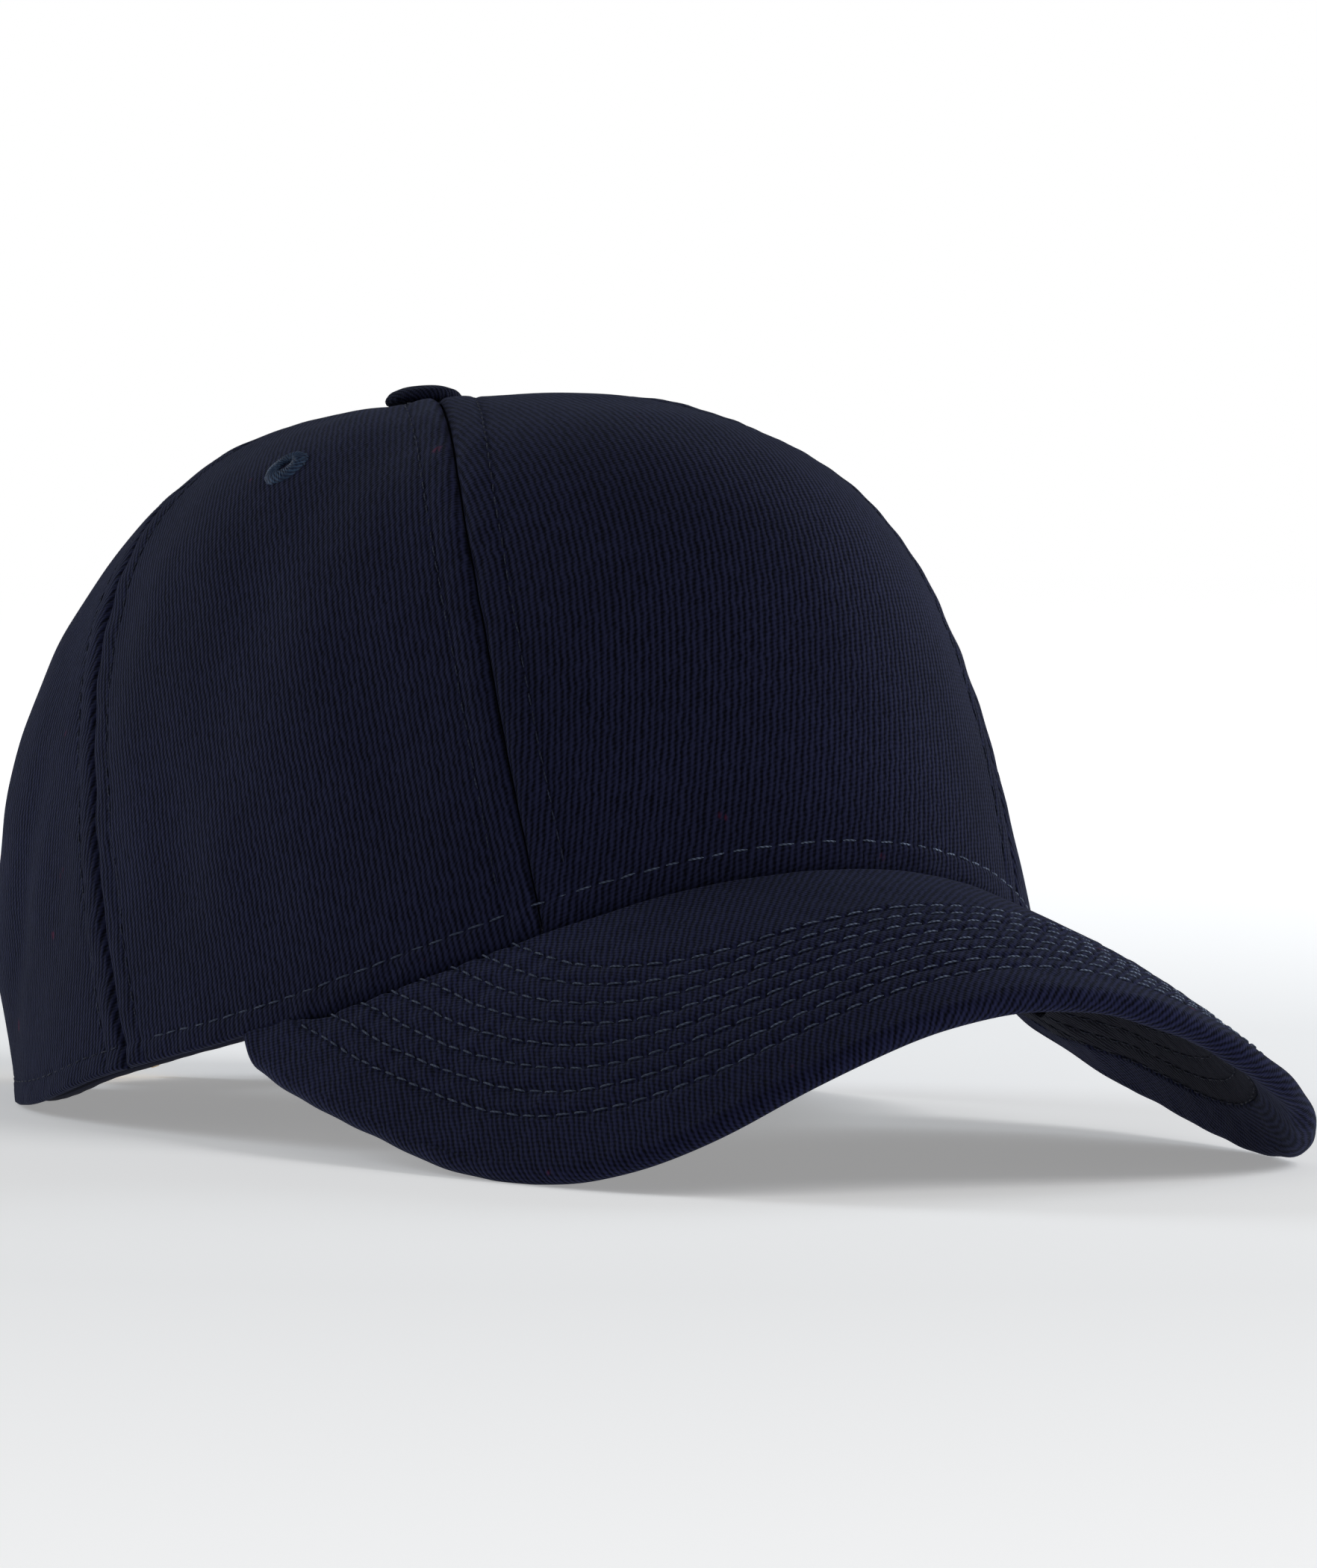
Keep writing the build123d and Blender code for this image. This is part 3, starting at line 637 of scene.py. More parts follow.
def strip_piece(name, theta, t, across, along, depth, relief):
    """Cloth on given (theta, t), such as a tape along a seam; rows run along it."""
    thick = depth[1] - depth[0]
    half = np.abs(across).max(axis=1, keepdims=True)
    turned = roll_in(half - np.abs(across), thick * 0.45)
    base = softness(theta, t)
    bump = relief(across, along)
    outer = crown(theta, t, base - depth[0] - turned)
    inner = crown(theta, t, base - depth[1] + turned - bump)
    return sheet_mesh(name, outer, inner, np.stack([across, along], -1))


def seam_tape(name, line, low, high, side=1):
    rows, columns = 170, 21
    t = (low + (high - low) * np.linspace(0, 1, rows))[:, None] * np.ones(columns)
    middle = line(t)
    half = TAPE_HALF_WIDTH * np.minimum(1, (1 - t) * 3 + 0.25)
    across = half * np.sin(np.linspace(-1, 1, columns) * np.pi / 2)
    theta = middle + spread(middle, t, across)
    along = arc_up(t, float(line(0.5)))

    def relief(off, run):
        folds = 0.5 * np.exp(-((off / 2.2) ** 2))
        sewn_at = 0.72 * np.abs(off).max(axis=1, keepdims=True)
        rows_in = groove(np.abs(off), sewn_at, 0.5, 0.2)
        return folds * 0.5 + rows_in + 0.05 * np.sin(run * 1.6 + off)

    if side < 0:
        theta, across = -theta[:, ::-1], across[:, ::-1] * -1
    return strip_piece(name, theta, t, across, along, TAPE_LAYER, relief)


def arch_binding():
    """Tape that faces the half-moon's cut edge on the inside, down to the strap."""
    path = arch_path(140, STRAP_BOTTOM + STRAP_WIDTH + BINDING_ABOVE_STRAP)
    length = running_length(path)
    run = unit(np.gradient(path, axis=0))
    outward = np.stack([run[:, 1], -run[:, 0]], -1)
    clear = 0.6
    off = clear + BINDING_WIDTH * (1 - np.cos(np.linspace(0, np.pi, 15))) / 2
    place = path[:, None] + outward[:, None] * off[None, :, None]
    theta, t = find_on_back(place[..., 0], place[..., 1])
    across = np.broadcast_to(off - clear - BINDING_WIDTH / 2, theta.shape)
    along = np.broadcast_to(length[:, None], theta.shape)

    def relief(across, along):
        return 0.06 * np.sin(along * 1.3) + groove(np.abs(across), 3.2, 0.5, 0.2)

    flipped = [grid[::-1] for grid in (theta, t, across, along)]
    return strip_piece("arch_binding_cloth", *flipped, LINING_LAYER, relief)


def strap_tab():
    """Short strap end: sewn inside the back panel, round the clasp's bar and back onto itself."""
    bends = np.array(TAB_PATH)
    length = running_length(bends)
    run = np.linspace(0, length[-1], 150)
    line = np.stack([np.interp(run, length, bends[:, k]) for k in (0, 1)], -1)
    padded = np.pad(line, ((3, 3), (0, 0)), mode="reflect", reflect_type="odd")
    line = np.stack([np.convolve(padded[:, k], np.ones(7) / 7, "valid") for k in (0, 1)], -1)
    ahead = unit(np.gradient(line, axis=0))
    outward = np.stack([ahead[:, 1], -ahead[:, 0]], -1)
    up = STRAP_WIDTH * (1 - np.cos(np.linspace(0, np.pi, 24))) / 2
    hem_edge, end = np.minimum(up, STRAP_WIDTH - up), np.minimum(run, run[-1] - run)
    rounded = roll_in(hem_edge[:, None], 0.38) + roll_in(end, 0.38)
    rows_in = groove(hem_edge, 2.6, 0.5, 0.15)[:, None]
    half = np.maximum(TAB_HALF_THICK - rounded, 0.03)

    def place(side):
        x = line[:, 0] + side * outward[:, 0] * (half + rows_in)
        z = line[:, 1] + side * outward[:, 1] * (half + rows_in)
        theta = CLASP_THETA + spread(np.array(CLASP_THETA), np.array(0.08), x)
        t = t_at_height(theta.ravel(), 0 * theta.ravel() + STRAP_BOTTOM + np.repeat(up, len(run)))
        bent = crown(theta, t.reshape(theta.shape), z - STRAP_LAYER[0])
        origin, along, rise, out = clasp_frame()
        flat = origin + x[..., None] * along + z[..., None] * out
        flat = flat + (up - STRAP_WIDTH / 2)[:, None, None] * rise
        share = smooth(x, 12, 15.5)[..., None]
        return flat * (1 - share) + bent * share

    weave = np.stack([run + 0 * up[:, None], up[:, None] + 0 * run], -1)
    return sheet_mesh("strap_tab_cloth", place(-1), place(1), weave)


def clasp_frame():
    """Middle of the clasp on the strap, and its directions along, up and out."""
    theta = np.array([CLASP_THETA])
    t = t_at_height(theta, CLASP_HEIGHT)
    origin = crown(theta, t, -STRAP_LAYER[0])[0]
    out = crown_normal(theta, t)[0]
    along = unit(crown_surface(theta + 0.2, t)[0] - crown_surface(theta - 0.2, t)[0])
    return origin, along, unit(np.cross(out, along)), out


def front_buckram():
    rows, columns = 110, 90
    t = (0.03 + 0.90 * np.linspace(0, 1, rows))[:, None] * np.ones(columns)
    edge = seam(FRONT_SEAM, t) - spread(seam(FRONT_SEAM, t), t, 3.0)
    theta = edge * np.linspace(-1, 1, columns)
    base = softness(theta, t)
    weave = crown_weave(theta, t, 0.0, 0.0)
    outer, inner = (crown(theta, t, base - depth) for depth in LINING_LAYER)
    return sheet_mesh("buckram_lining", outer, inner, weave)


# ---------------------------------------------------------------- visor
def edge_polyline(count=900):
    u = np.linspace(-1, 1, count)
    return visor_edge(u), edge_outward(np.clip(u, -0.995, 0.995))


def edge_distance(pattern):
    """Distance in from the edge of the flat pattern."""
    line, _ = edge_polyline(700)
    flat = pattern.reshape(-1, 2)
    out = np.empty(len(flat))
    for k in range(0, len(flat), 4000):
        gap = flat[k : k + 4000, None, :] - line[None]
        out[k : k + 4000] = np.sqrt((gap**2).sum(-1)).min(axis=1)
    return out.reshape(pattern.shape[:-1])


def row_insets():
    return FIRST_ROW + ROW_SPACING * np.arange(VISOR_ROWS)


def visor_waver(pattern):
    """Slight unevenness of the padded visor."""
    p = np.concatenate([pattern, 0 * pattern[..., :1]], -1)
    return 0.10 * waves(p, 34, 5, 21) + 0.05 * waves(p, 9, 6, 22)


def visor_relief(pattern, distance, depth=0.42):
    stitched = np.zeros_like(distance)
    for at in row_insets():
        stitched += groove(distance, at, 0.62, depth)
    outside = np.maximum(row_insets()[0] - distance, distance - row_insets()[-1])
    near_rows = np.exp(-np.maximum(outside, 0) / 3)
    p = np.concatenate([pattern, 0 * pattern[..., :1]], -1)
    return stitched + visor_waver(pattern) + 0.10 * waves(p, 5.0, 6, 23) * near_rows


def visor_columns(count):
    """Places along the edge, closer together at the visor's corners."""
    u = np.linspace(-1, 1, count)
    return 0.55 * u + 0.45 * np.sin(u * np.pi / 2)


def rim_radius(u):
    """The rolled rim closes to a rounded nose at each corner."""
    x = np.clip((np.abs(u) - 0.94) / 0.06, 0, 1)
    return RIM * np.sqrt(np.maximum(1 - x * x, 0.0004))


def at_corner(u):
    return smooth(np.abs(u), 0.93, 1.0)


def rim_middle(u):
    """Depth of the rim's middle below the visor's top; it is less behind the hem at each corner."""
    return RIM - (RIM - CORNER_SINK) * at_corner(u)


def joint_line(u, gap):
    """Inner edge of a visor cloth: clear of the crown in front, and inside its hem at the corners."""
    return visor_joint(u, gap + (-CORNER_TUCK - 0.6 - gap) * smooth(np.abs(u), 0.84, 0.97))


def outer_edge(u):
    """Edge of the pattern, drawn in behind the crown's hem at the corners."""
    inward = visor_joint(u, -CORNER_TUCK) - visor_joint(u, 0.0)
    return visor_edge(u) + inward * at_corner(u)[:, None]


def flat_noise(pattern, wavelength, seed):
    return waves(np.concatenate([pattern, 0 * pattern[..., :1]], -1), wavelength, 6, seed)


def visor_top():
    """Top cloth from the crown out to the edge, rolled round the rim and turned beneath."""
    u = visor_columns(430)
    joint, edge, out = joint_line(u, VISOR_GAP), outer_edge(u), edge_outward(u)
    radius, middle = rim_radius(u), rim_middle(u)
    share = radius / RIM
    flat = joint[None] + (edge - joint)[None] * np.linspace(0, 1, 150)[:-1, None, None]
    relief = visor_relief(flat, edge_distance(flat)) * share + radius - middle
    inward = np.linalg.norm(flat - joint[None], axis=-1)
    relief = relief - np.minimum(roll_in(inward, 1.3), radius)
    outer, weave = [visor_point(flat, relief)], [flat]
    inner = [visor_point(flat, np.minimum(relief - CLOTH * share, radius - middle - 0.9 * CLOTH * share))]
    swell = 0.14 * flat_noise(edge, 14, 24) * share
    for a in np.linspace(0, np.pi, 27):
        for rows, reach in ((outer, radius + swell), (inner, radius * (1 - CLOTH / RIM))):
            place = edge + out * (reach * math.sin(a))[:, None]
            rows.append(visor_point(place, reach * math.cos(a) - middle)[None])
        weave.append((edge + out * (RIM * a))[None])
    under = np.minimum(RIM_UNDER, 0.5 * np.linalg.norm(edge - joint, axis=-1))
    for back in np.linspace(0, 1, 15)[1:]:
        place = edge - out * (under * back)[:, None]
        folded = roll_in(RIM_UNDER * (1 - back), 0.5) * share
        puckers = 0.10 * flat_noise(place, 6, 25) * share
        outer.append(visor_point(place, -middle - radius + puckers + folded)[None])
        inner.append(visor_point(place, -middle - radius * (1 - CLOTH / RIM))[None])
        weave.append((edge + out * (RIM * np.pi + under[:, None] * back))[None])
    outer, inner, weave = (np.concatenate(rows)[:, ::-1] for rows in (outer, inner, weave))
    return sheet_mesh("visor_cover", outer, inner, rotate_flat(weave, VISOR_RIB_LEAN))


def visor_under():
    u = visor_columns(300)
    radius, middle = rim_radius(u), rim_middle(u)
    joint, edge, out = joint_line(u, VISOR_GAP + 1.6), outer_edge(u), edge_outward(u)
    inset = np.minimum(RIM_UNDER + 0.1, 0.5 * np.linalg.norm(edge - joint, axis=-1))
    end = edge - out * inset[:, None]
    v = np.linspace(0, 1, 110)
    flat = joint[None] + (end - joint)[None] * v[:, None, None]
    relief = visor_relief(flat, edge_distance(flat), 0.3) * 0.7 * radius / RIM
    lower = visor_point(flat, -middle - radius - relief)
    upper = visor_point(flat, -middle - radius * (1 - CLOTH / RIM) + 0 * relief)
    return sheet_mesh("visor_lining", lower, upper, rotate_flat(flat, UNDER_RIB_LEAN))


def visor_core():
    """The bendable board between the visor's two cloths."""
    u = visor_columns(160) * 0.93
    joint, edge, out = visor_joint(u, VISOR_GAP + 1.0), visor_edge(u), edge_outward(u)
    end = edge - out * np.minimum(1.2, 0.5 * np.linalg.norm(edge - joint, axis=-1))[:, None]
    v = np.linspace(0, 1, 50)
    flat = joint[None] + (end - joint)[None] * v[:, None, None]
    zero = np.zeros(flat.shape[:2])
    top, bottom = visor_point(flat, zero - 1.45), visor_point(flat, zero - 2.75)
    return sheet_mesh("visor_core_board", bottom, top, flat)


# ---------------------------------------------------------------- stitches
def stitch_run(place, line, seed, pitch=STITCH_PITCH, dash=STITCH_LENGTH, radius=STITCH_RADIUS):
    """Points of a row of stitches; place(line, lift) turns the line's own terms into cap-frame points."""
    rng = np.random.default_rng(seed)
    length = running_length(place(line, np.zeros(len(line))))
    count = int((length[-1] - dash) / pitch)
    if count < 1:
        return np.zeros((0, 8, 6, 3))
    start = np.arange(count) * pitch + rng.uniform(-0.18, 0.18, count)
    size = dash * rng.uniform(0.88, 1.08, count)
    s = np.linspace(0, 1, 8)
    at = start[:, None] + size[:, None] * s
    where = np.stack([np.interp(at, length, line[:, k]) for k in range(line.shape[1])], -1)
    flat = where.reshape(-1, line.shape[1])
    dip = 0.05 + 0.16 * (1 - (2 * s - 1) ** 4) + rng.uniform(-0.04, 0.04, count)[:, None]
    core = place(flat, (dip - 0.22).ravel()).reshape(count, 8, 3)
    top = place(flat, (dip - 0.22).ravel() + 0.5).reshape(count, 8, 3)
    normal = unit(top - core)
    ahead = unit(np.gradient(core, axis=1))
    side = unit(np.cross(ahead, normal))
    slant = rng.uniform(-0.10, 0.10, count)[:, None] * (2 * s - 1)
    core = core + side * (slant + rng.uniform(-0.06, 0.06, count)[:, None])[..., None]
    thick = radius * np.array([0.35, 0.85, 1, 1.02, 1.02, 1, 0.85, 0.35])
    angle = np.arange(6) * np.pi / 3
    ring = np.cos(angle)[:, None] * side[:, :, None] + np.sin(angle)[:, None] * normal[:, :, None]
    return core[:, :, None] + ring * thick[None, :, None, None]


def thread_piece(name, runs):
    """All the stitches of some rows as one mesh of small closed threads."""
    tubes = np.concatenate([r for r in runs if len(r)])
    count = len(tubes)
    i, j = np.meshgrid(np.arange(7), np.arange(6), indexing="ij")
    k = (j + 1) % 6
    side = np.stack([i * 6 + j, i * 6 + k, (i + 1) * 6 + k, (i + 1) * 6 + j], -1).reshape(-1, 4)
    caps = np.array([[0, 1, 2, 3], [0, 3, 4, 5], [45, 44, 43, 42], [47, 46, 45, 42]])[:, ::-1]
    one = np.concatenate([side, caps])
    faces = (one[None] + 48 * np.arange(count)[:, None, None]).reshape(-1, 4)
    run = np.tile(np.repeat(np.linspace(0, STITCH_LENGTH, 8), 6), count)
    around = np.tile(np.tile(np.arange(6) * 0.18, 8), count)
    return make_mesh(name, to_world(tubes.reshape(-1, 3)), faces[:, ::-1], np.stack([around, run], -1) * MM)


def on_crown(line, lift):
    theta, t = line[:, 0], line[:, 1]
    return crown(theta, t, softness(theta, t) + lift)


def on_visor(lift_at, sign=1):
    def place(line, lift):
        return visor_point(line, lift_at + sign * lift)

    return place


def seam_run(line, offset, low, high, side=1):
    """Line of (theta, t) beside a seam, closing in on it towards the button."""
    t = np.linspace(low, high, 400)
    middle = line(t)
    width = 22 if line is front_seam else 20
    room = np.minimum(1, (1 - t) * 150 * 0.55 / width * 1.4 + 0.06)
    theta = middle + spread(middle, t, offset * room)
    return np.stack([theta * side, t], -1)


def front_seam(t):
    return seam(FRONT_SEAM, t)


def rear_seam(t):
    return seam(REAR_SEAM, t)


def hem_run(start, end, height):
    """Line of (theta, t) at one height over the hem."""
    theta = np.linspace(start, end, 500)
    return np.stack([theta, t_at_height(theta, height)], -1)


def visor_rows():
    """The stitched rows on the flat pattern: parallel to the edge, cut off where they meet the crown."""
    line, outward = edge_polyline(1200)
    found = []
    for at in row_insets():
        row = line - outward * at
        p = visor_surface(row)
        theta = np.degrees(np.arctan2(p[:, 0] / HALF_WIDTH, -p[:, 1] / FRONT_LENGTH))
        reach = np.hypot(p[:, 0] / HALF_WIDTH, p[:, 1] / FRONT_LENGTH)
        clear = (reach > 1 + 1.2 / HALF_WIDTH) & (np.abs(theta) < VISOR_CORNER - 1)
        keep = np.flatnonzero(clear)
        row = row[keep[0] : keep[-1] + 1]
        sway = 0.16 * np.sin(np.arange(len(row)) * 0.045 + at * 3)
        found.append(row - outward[keep[0] : keep[-1] + 1] * sway[:, None])
    return found


# ---------------------------------------------------------------- eyelets and button
def local_frame(theta, t, depth=0.0):
    """Origin, two directions on the surface and the normal, in the cap frame."""
    theta, t = np.array([theta]), np.array([t])
    origin = crown(theta, t, softness(theta, t) - depth)[0]
    normal = crown_normal(theta, t)[0]
    up = unit(crown_surface(theta, t + 0.01)[0] - crown_surface(theta, t - 0.01)[0])
    across = unit(np.cross(up, normal))
    return origin, across, np.cross(normal, across), normal


def eyelet(name, theta, t, seed):
    """A ring of dense satin stitches worked over the edge of a small hole."""
    rng = np.random.default_rng(seed)
    threads, around, section = 46, 46 * 6, 18
    origin, across, up, normal = local_frame(theta, t)
    phi = np.linspace(0, 2 * np.pi, around, endpoint=False)
    a = np.linspace(0, 2 * np.pi, section, endpoint=False)
    each = np.abs(np.sin(phi * threads / 2)) ** 0.7
    reach = 1 + 0.10 * np.repeat(rng.uniform(-1, 1, threads), 6)
    skew = 0.05 * np.repeat(rng.uniform(-1, 1, threads), 6)
    outward = 3.0 + np.outer(1.35 * reach, np.cos(a)) - 0.1
    height = np.outer(0.75 + 0.22 * each, np.sin(a)) + 0.30 * np.cos(a)[None, :] * -1 - 0.05
    swing = phi[:, None] + skew[:, None] * np.cos(a)[None, :]
    x, y = outward * np.cos(swing), outward * np.sin(swing)
    points = origin + x[..., None] * across + y[..., None] * up + height[..., None] * normal
    i, j = np.meshgrid(np.arange(around), np.arange(section), indexing="ij")
    n, m = (i + 1) % around, (j + 1) % section
    faces = np.stack([i * section + j, n * section + j, n * section + m, i * section + m], -1).reshape(-1, 4)
    weave = np.stack([swing * 3, a[None, :] * 1.2 + 0 * swing], -1).reshape(-1, 2)
    return make_mesh(name, to_world(points.reshape(-1, 3)), faces, weave * MM)


def eyelet_dark(name, theta, t):
    """Painted shade: a dark dish of cloth set down the eyelet's hole, standing for the shade inside it."""
    origin, across, up, normal = local_frame(theta, t, 1.3)
    rings, around = 8, 40
    r = np.linspace(0.02, 2.7, rings)[:, None]
    phi = np.linspace(0, 2 * np.pi, around, endpoint=False)[None, :]
    dish = -0.5 * (1 - (r / 2.7) ** 2) + 0 * phi
    points = origin + (r * np.cos(phi))[..., None] * across + (r * np.sin(phi))[..., None] * up
    points = points + (dish + 0.2)[..., None] * normal
    under = points - 0.25 * normal
    weave = np.stack([r * np.cos(phi), r * np.sin(phi)], -1)
    return sheet_mesh(name, *(closed_ring(grid) for grid in (points, under, weave)))


def button():
    """Cloth drawn over a domed former, gathered in small pleats under its rim."""
    s = np.linspace(0, 1, 46)[:, None]
    phi = np.linspace(0, 2 * np.pi, 180, endpoint=False)[None, :]
    share, radii, heights = np.array(BUTTON_PROFILE).T

    def profile(values):
        padded = np.pad(np.interp(s[:, 0], share, values), 2, mode="edge")
        return np.convolve(padded, np.ones(5) / 5, "valid")[:, None]

    def turned_shape(r, z):
        z = CROWN_HEIGHT + BUTTON_UP + z + 0 * phi
        return closed_ring(np.stack([r * np.cos(phi), BUTTON_SETBACK + r * np.sin(phi), z], -1))[:, ::-1]

    pleat = smooth(s, 0.55, 0.85) * 0.13 * (np.sin(phi * 26) + 0.5 * np.sin(phi * 11 + 1))
    r = profile(radii) + pleat
    z = profile(heights) + 0.05 * np.sin(phi * 3) * s
    weave = closed_ring(np.stack([s * 11.0 * np.cos(phi), s * 11.0 * np.sin(phi)], -1))[:, ::-1]
    outer, inner = turned_shape(r, z), turned_shape(r * 0.86, z * 0.72 + 0.15)
    return sheet_mesh("button_cloth_cover", outer, inner, weave)


# ---------------------------------------------------------------- materials
def srgb(r, g, b):
    def linear(v):
        v /= 255
        return v / 12.92 if v <= 0.04045 else ((v + 0.055) / 1.055) ** 2.4

    return (linear(r), linear(g), linear(b), 1.0)


class Nodes:
    """Short names for building a node material."""

    def __init__(self, name):
        self.material = bpy.data.materials.new(name)
        self.material.use_nodes = True
        self.tree = self.material.node_tree
        self.shader = self.tree.nodes["Principled BSDF"]

    def node(self, kind, inputs=(), **settings):
        made = self.tree.nodes.new("ShaderNode" + kind)
        for key, value in settings.items():
            setattr(made, key, value)
        for key, value in dict(inputs).items():
            self.feed(made.inputs[key], value)
        return made

    def feed(self, socket, value):
        if isinstance(value, bpy.types.NodeSocket):
            self.tree.links.new(value, socket)
        else:
            socket.default_value = value

    def math(self, operation, a, b=0.0, c=0.0):
        made = self.node("Math", operation=operation)
        for socket, value in zip(made.inputs, (a, b, c)):
            self.feed(socket, value)
        return made.outputs[0]

    def mix(self, factor, a, b, blend="MIX"):
        made = self.node("Mix", data_type="RGBA", blend_type=blend)
        self.feed(made.inputs[0], factor)
        self.feed(made.inputs[6], a)
        self.feed(made.inputs[7], b)
        return made.outputs[2]

    def noise(self, vector, scale, detail=2.0, rough=0.5):
        made = self.node("TexNoise", {"Vector": vector, "Scale": scale, "Detail": detail, "Roughness": rough})
        return made.outputs["Fac"]

    def ramp(self, factor, low, high, start=0.0, end=1.0):
        values = {"Value": factor, "From Min": low, "From Max": high, "To Min": start, "To Max": end}
        return self.node("MapRange", values).outputs["Result"]

    def cloth_places(self):
        """The weave's own coordinates and those of the whole cap."""
        return self.node("UVMap", uv_map="weave").outputs[0], self.node("TexCoord").outputs["Object"]

    def shaded(self, colour, shade):
        grey = self.node("CombineColor", {"Red": shade, "Green": shade, "Blue": shade}).outputs[0]
        return self.mix(1.0, colour, grey, "MULTIPLY")

    def surface(self, colour, roughness, relief, settings=()):
        """Feed the shader and return the material; relief is a height, a strength and a distance."""
        height, strength, distance = relief
        bump = self.node("Bump", {"Height": height, "Strength": strength, "Distance": distance})
        wanted = {"Base Color": colour, "Roughness": roughness, "Normal": bump.outputs[0]}
        wanted.update(settings)
        for name, value in wanted.items():
            self.feed(self.shader.inputs[name], value)
        return self.material

    def wave(self, vector, spacing, direction="X", distortion=0.0, detail_scale=1.0, profile="SIN"):
        made = self.node("TexWave", bands_direction=direction, wave_profile=profile)
        self.feed(made.inputs["Vector"], vector)
        made.inputs["Scale"].default_value = 2 * math.pi / 20 / spacing
        made.inputs["Distortion"].default_value = distortion
        made.inputs["Detail Scale"].default_value = detail_scale
        return made.outputs["Fac"]


def twill_height(n, weave, long, tufts, spacing):
    """Height of the cloth: uneven ribs, the short floats that cross them, fuzz and tufts."""
    wobble = n.node("TexNoise", {"Vector": weave, "Scale": 420.0, "Detail": 2.0}).outputs["Color"]
    shift = n.node("VectorMath", {0: wobble, 1: (0.5, 0.5, 0.5)}, operation="SUBTRACT").outputs[0]
    small = n.node("VectorMath", {0: shift, "Scale": 0.9 * MM}, operation="SCALE").outputs[0]
    moved = n.node("VectorMath", {0: weave, 1: small}, operation="ADD").outputs[0]
    slanted = n.node("Mapping", {"Vector": moved, "Rotation": (0, 0, math.radians(62))}).outputs[0]
    floats = n.wave(slanted, spacing * 0.62)
    height = n.math("MULTIPLY_ADD", n.wave(moved, spacing), 0.50, n.math("MULTIPLY", floats, 0.20))
    height = n.math("ADD", height, n.math("MULTIPLY", n.noise(long, 2600.0, 3.0, 0.65), 0.55))
    return n.math("ADD", height, n.math("MULTIPLY", tufts, 0.45))


def twill(name, dark, light, spacing=1.12 * MM, fleck=0.25):
    """Brushed cotton twill: uneven ribs with short floats along them, fuzz, flecks, lint and wear."""
    n = Nodes(name)
    weave, place = n.cloth_places()
    long = n.node("Mapping", {"Vector": weave, "Scale": (1.0, 0.32, 1.0)}).outputs[0]
    tufts = n.noise(long, 900.0, 2.0, 0.6)
    height = twill_height(n, weave, long, tufts, spacing)
    colour = n.mix(n.ramp(height, 0.53, 1.13), dark, light)
    colour = n.shaded(colour, n.ramp(n.noise(place, 26.0, 3.0, 0.55), 0.3, 0.7, 0.86, 1.14))
    specks = n.ramp(n.noise(long, 1500.0, 4.0, 0.7), 0.66, 0.76)
    pale = tuple(min(1.0, v * 2.6 + 0.01) for v in light[:3]) + (1.0,)
    colour = n.mix(n.math("MULTIPLY", specks, fleck), colour, pale)
    lint = n.math("MULTIPLY", n.ramp(n.noise(place, 170.0, 1.0), 0.78, 0.82), n.ramp(tufts, 0.45, 0.6))
    colour = n.mix(n.math("MULTIPLY", lint, 0.55), colour, srgb(104, 34, 58))
    sheen = {"Sheen Weight": 0.07, "Sheen Roughness": 0.38, "Sheen Tint": (0.62, 0.72, 1.0, 1.0)}
    settings = {"Specular IOR Level": 0.05, **sheen}
    return n.surface(colour, n.ramp(height, 0.2, 1.3, 0.98, 0.82), (height, 1.0, 0.22 * MM), settings)


def thread(name, base, light, rough=0.7, painted_light_fade=False):
    """Sewing thread with its ply twist; with the fade on, it carries painted light: paler round the lit front
    middle and darker towards either side of the cap.
    """
    n = Nodes(name)
    weave, place = n.cloth_places()
    ply, patchy = n.wave(weave, 0.42 * MM, "DIAGONAL"), n.noise(place, 260.0, 2.0)
    paler = n.math("MULTIPLY", ply, n.ramp(patchy, 0.35, 0.65, 0.35, 1.0))
    # Painted light: the pale share falls off from the front middle towards either side of the cap, where the
    # stitches catch less light.
    if painted_light_fade:
        across = n.node("SeparateXYZ", {0: place}).outputs["X"]
        paler = n.math("MULTIPLY", paler, n.ramp(across, -55 * MM, 15 * MM, 0.15, 1.0))
        paler = n.math("MULTIPLY", paler, n.ramp(across, 40 * MM, 62 * MM, 1.0, 0.2))
    roughness = n.ramp(patchy, 0.3, 0.7, rough + 0.12, rough - 0.1)
    settings = {"Specular IOR Level": 0.15, "Sheen Weight": 0.05}
    return n.surface(n.mix(paler, base, light), roughness, (ply, 0.7, 0.06 * MM), settings)


def plain_weave(name, dark, light, spacing, depth, holes=0.0):
    """Plain woven tape or stiffened gauze: warp and weft crossing over and under."""
    n = Nodes(name)
    weave, place = n.cloth_places()
    threads = n.math("MAXIMUM", n.wave(weave, spacing), n.wave(weave, spacing, "Y"))
    fuzz = n.noise(weave, 2200.0, 3.0, 0.6)
    height = n.math("ADD", threads, n.math("MULTIPLY", fuzz, 0.4))
    if holes:
        between = n.math("SUBTRACT", 1.0, threads)
        height = n.math("SUBTRACT", height, n.math("MULTIPLY", between, holes))
    colour = n.mix(n.ramp(height, 0.4, 1.3), dark, light)
    colour = n.shaded(colour, n.ramp(n.noise(place, 40.0, 3.0), 0.3, 0.7, 0.88, 1.1))
    settings = {"Specular IOR Level": 0.12, "Sheen Weight": 0.05}
    return n.surface(colour, n.ramp(fuzz, 0.3, 0.7, 0.84, 0.96), (height, 0.8, depth), settings)


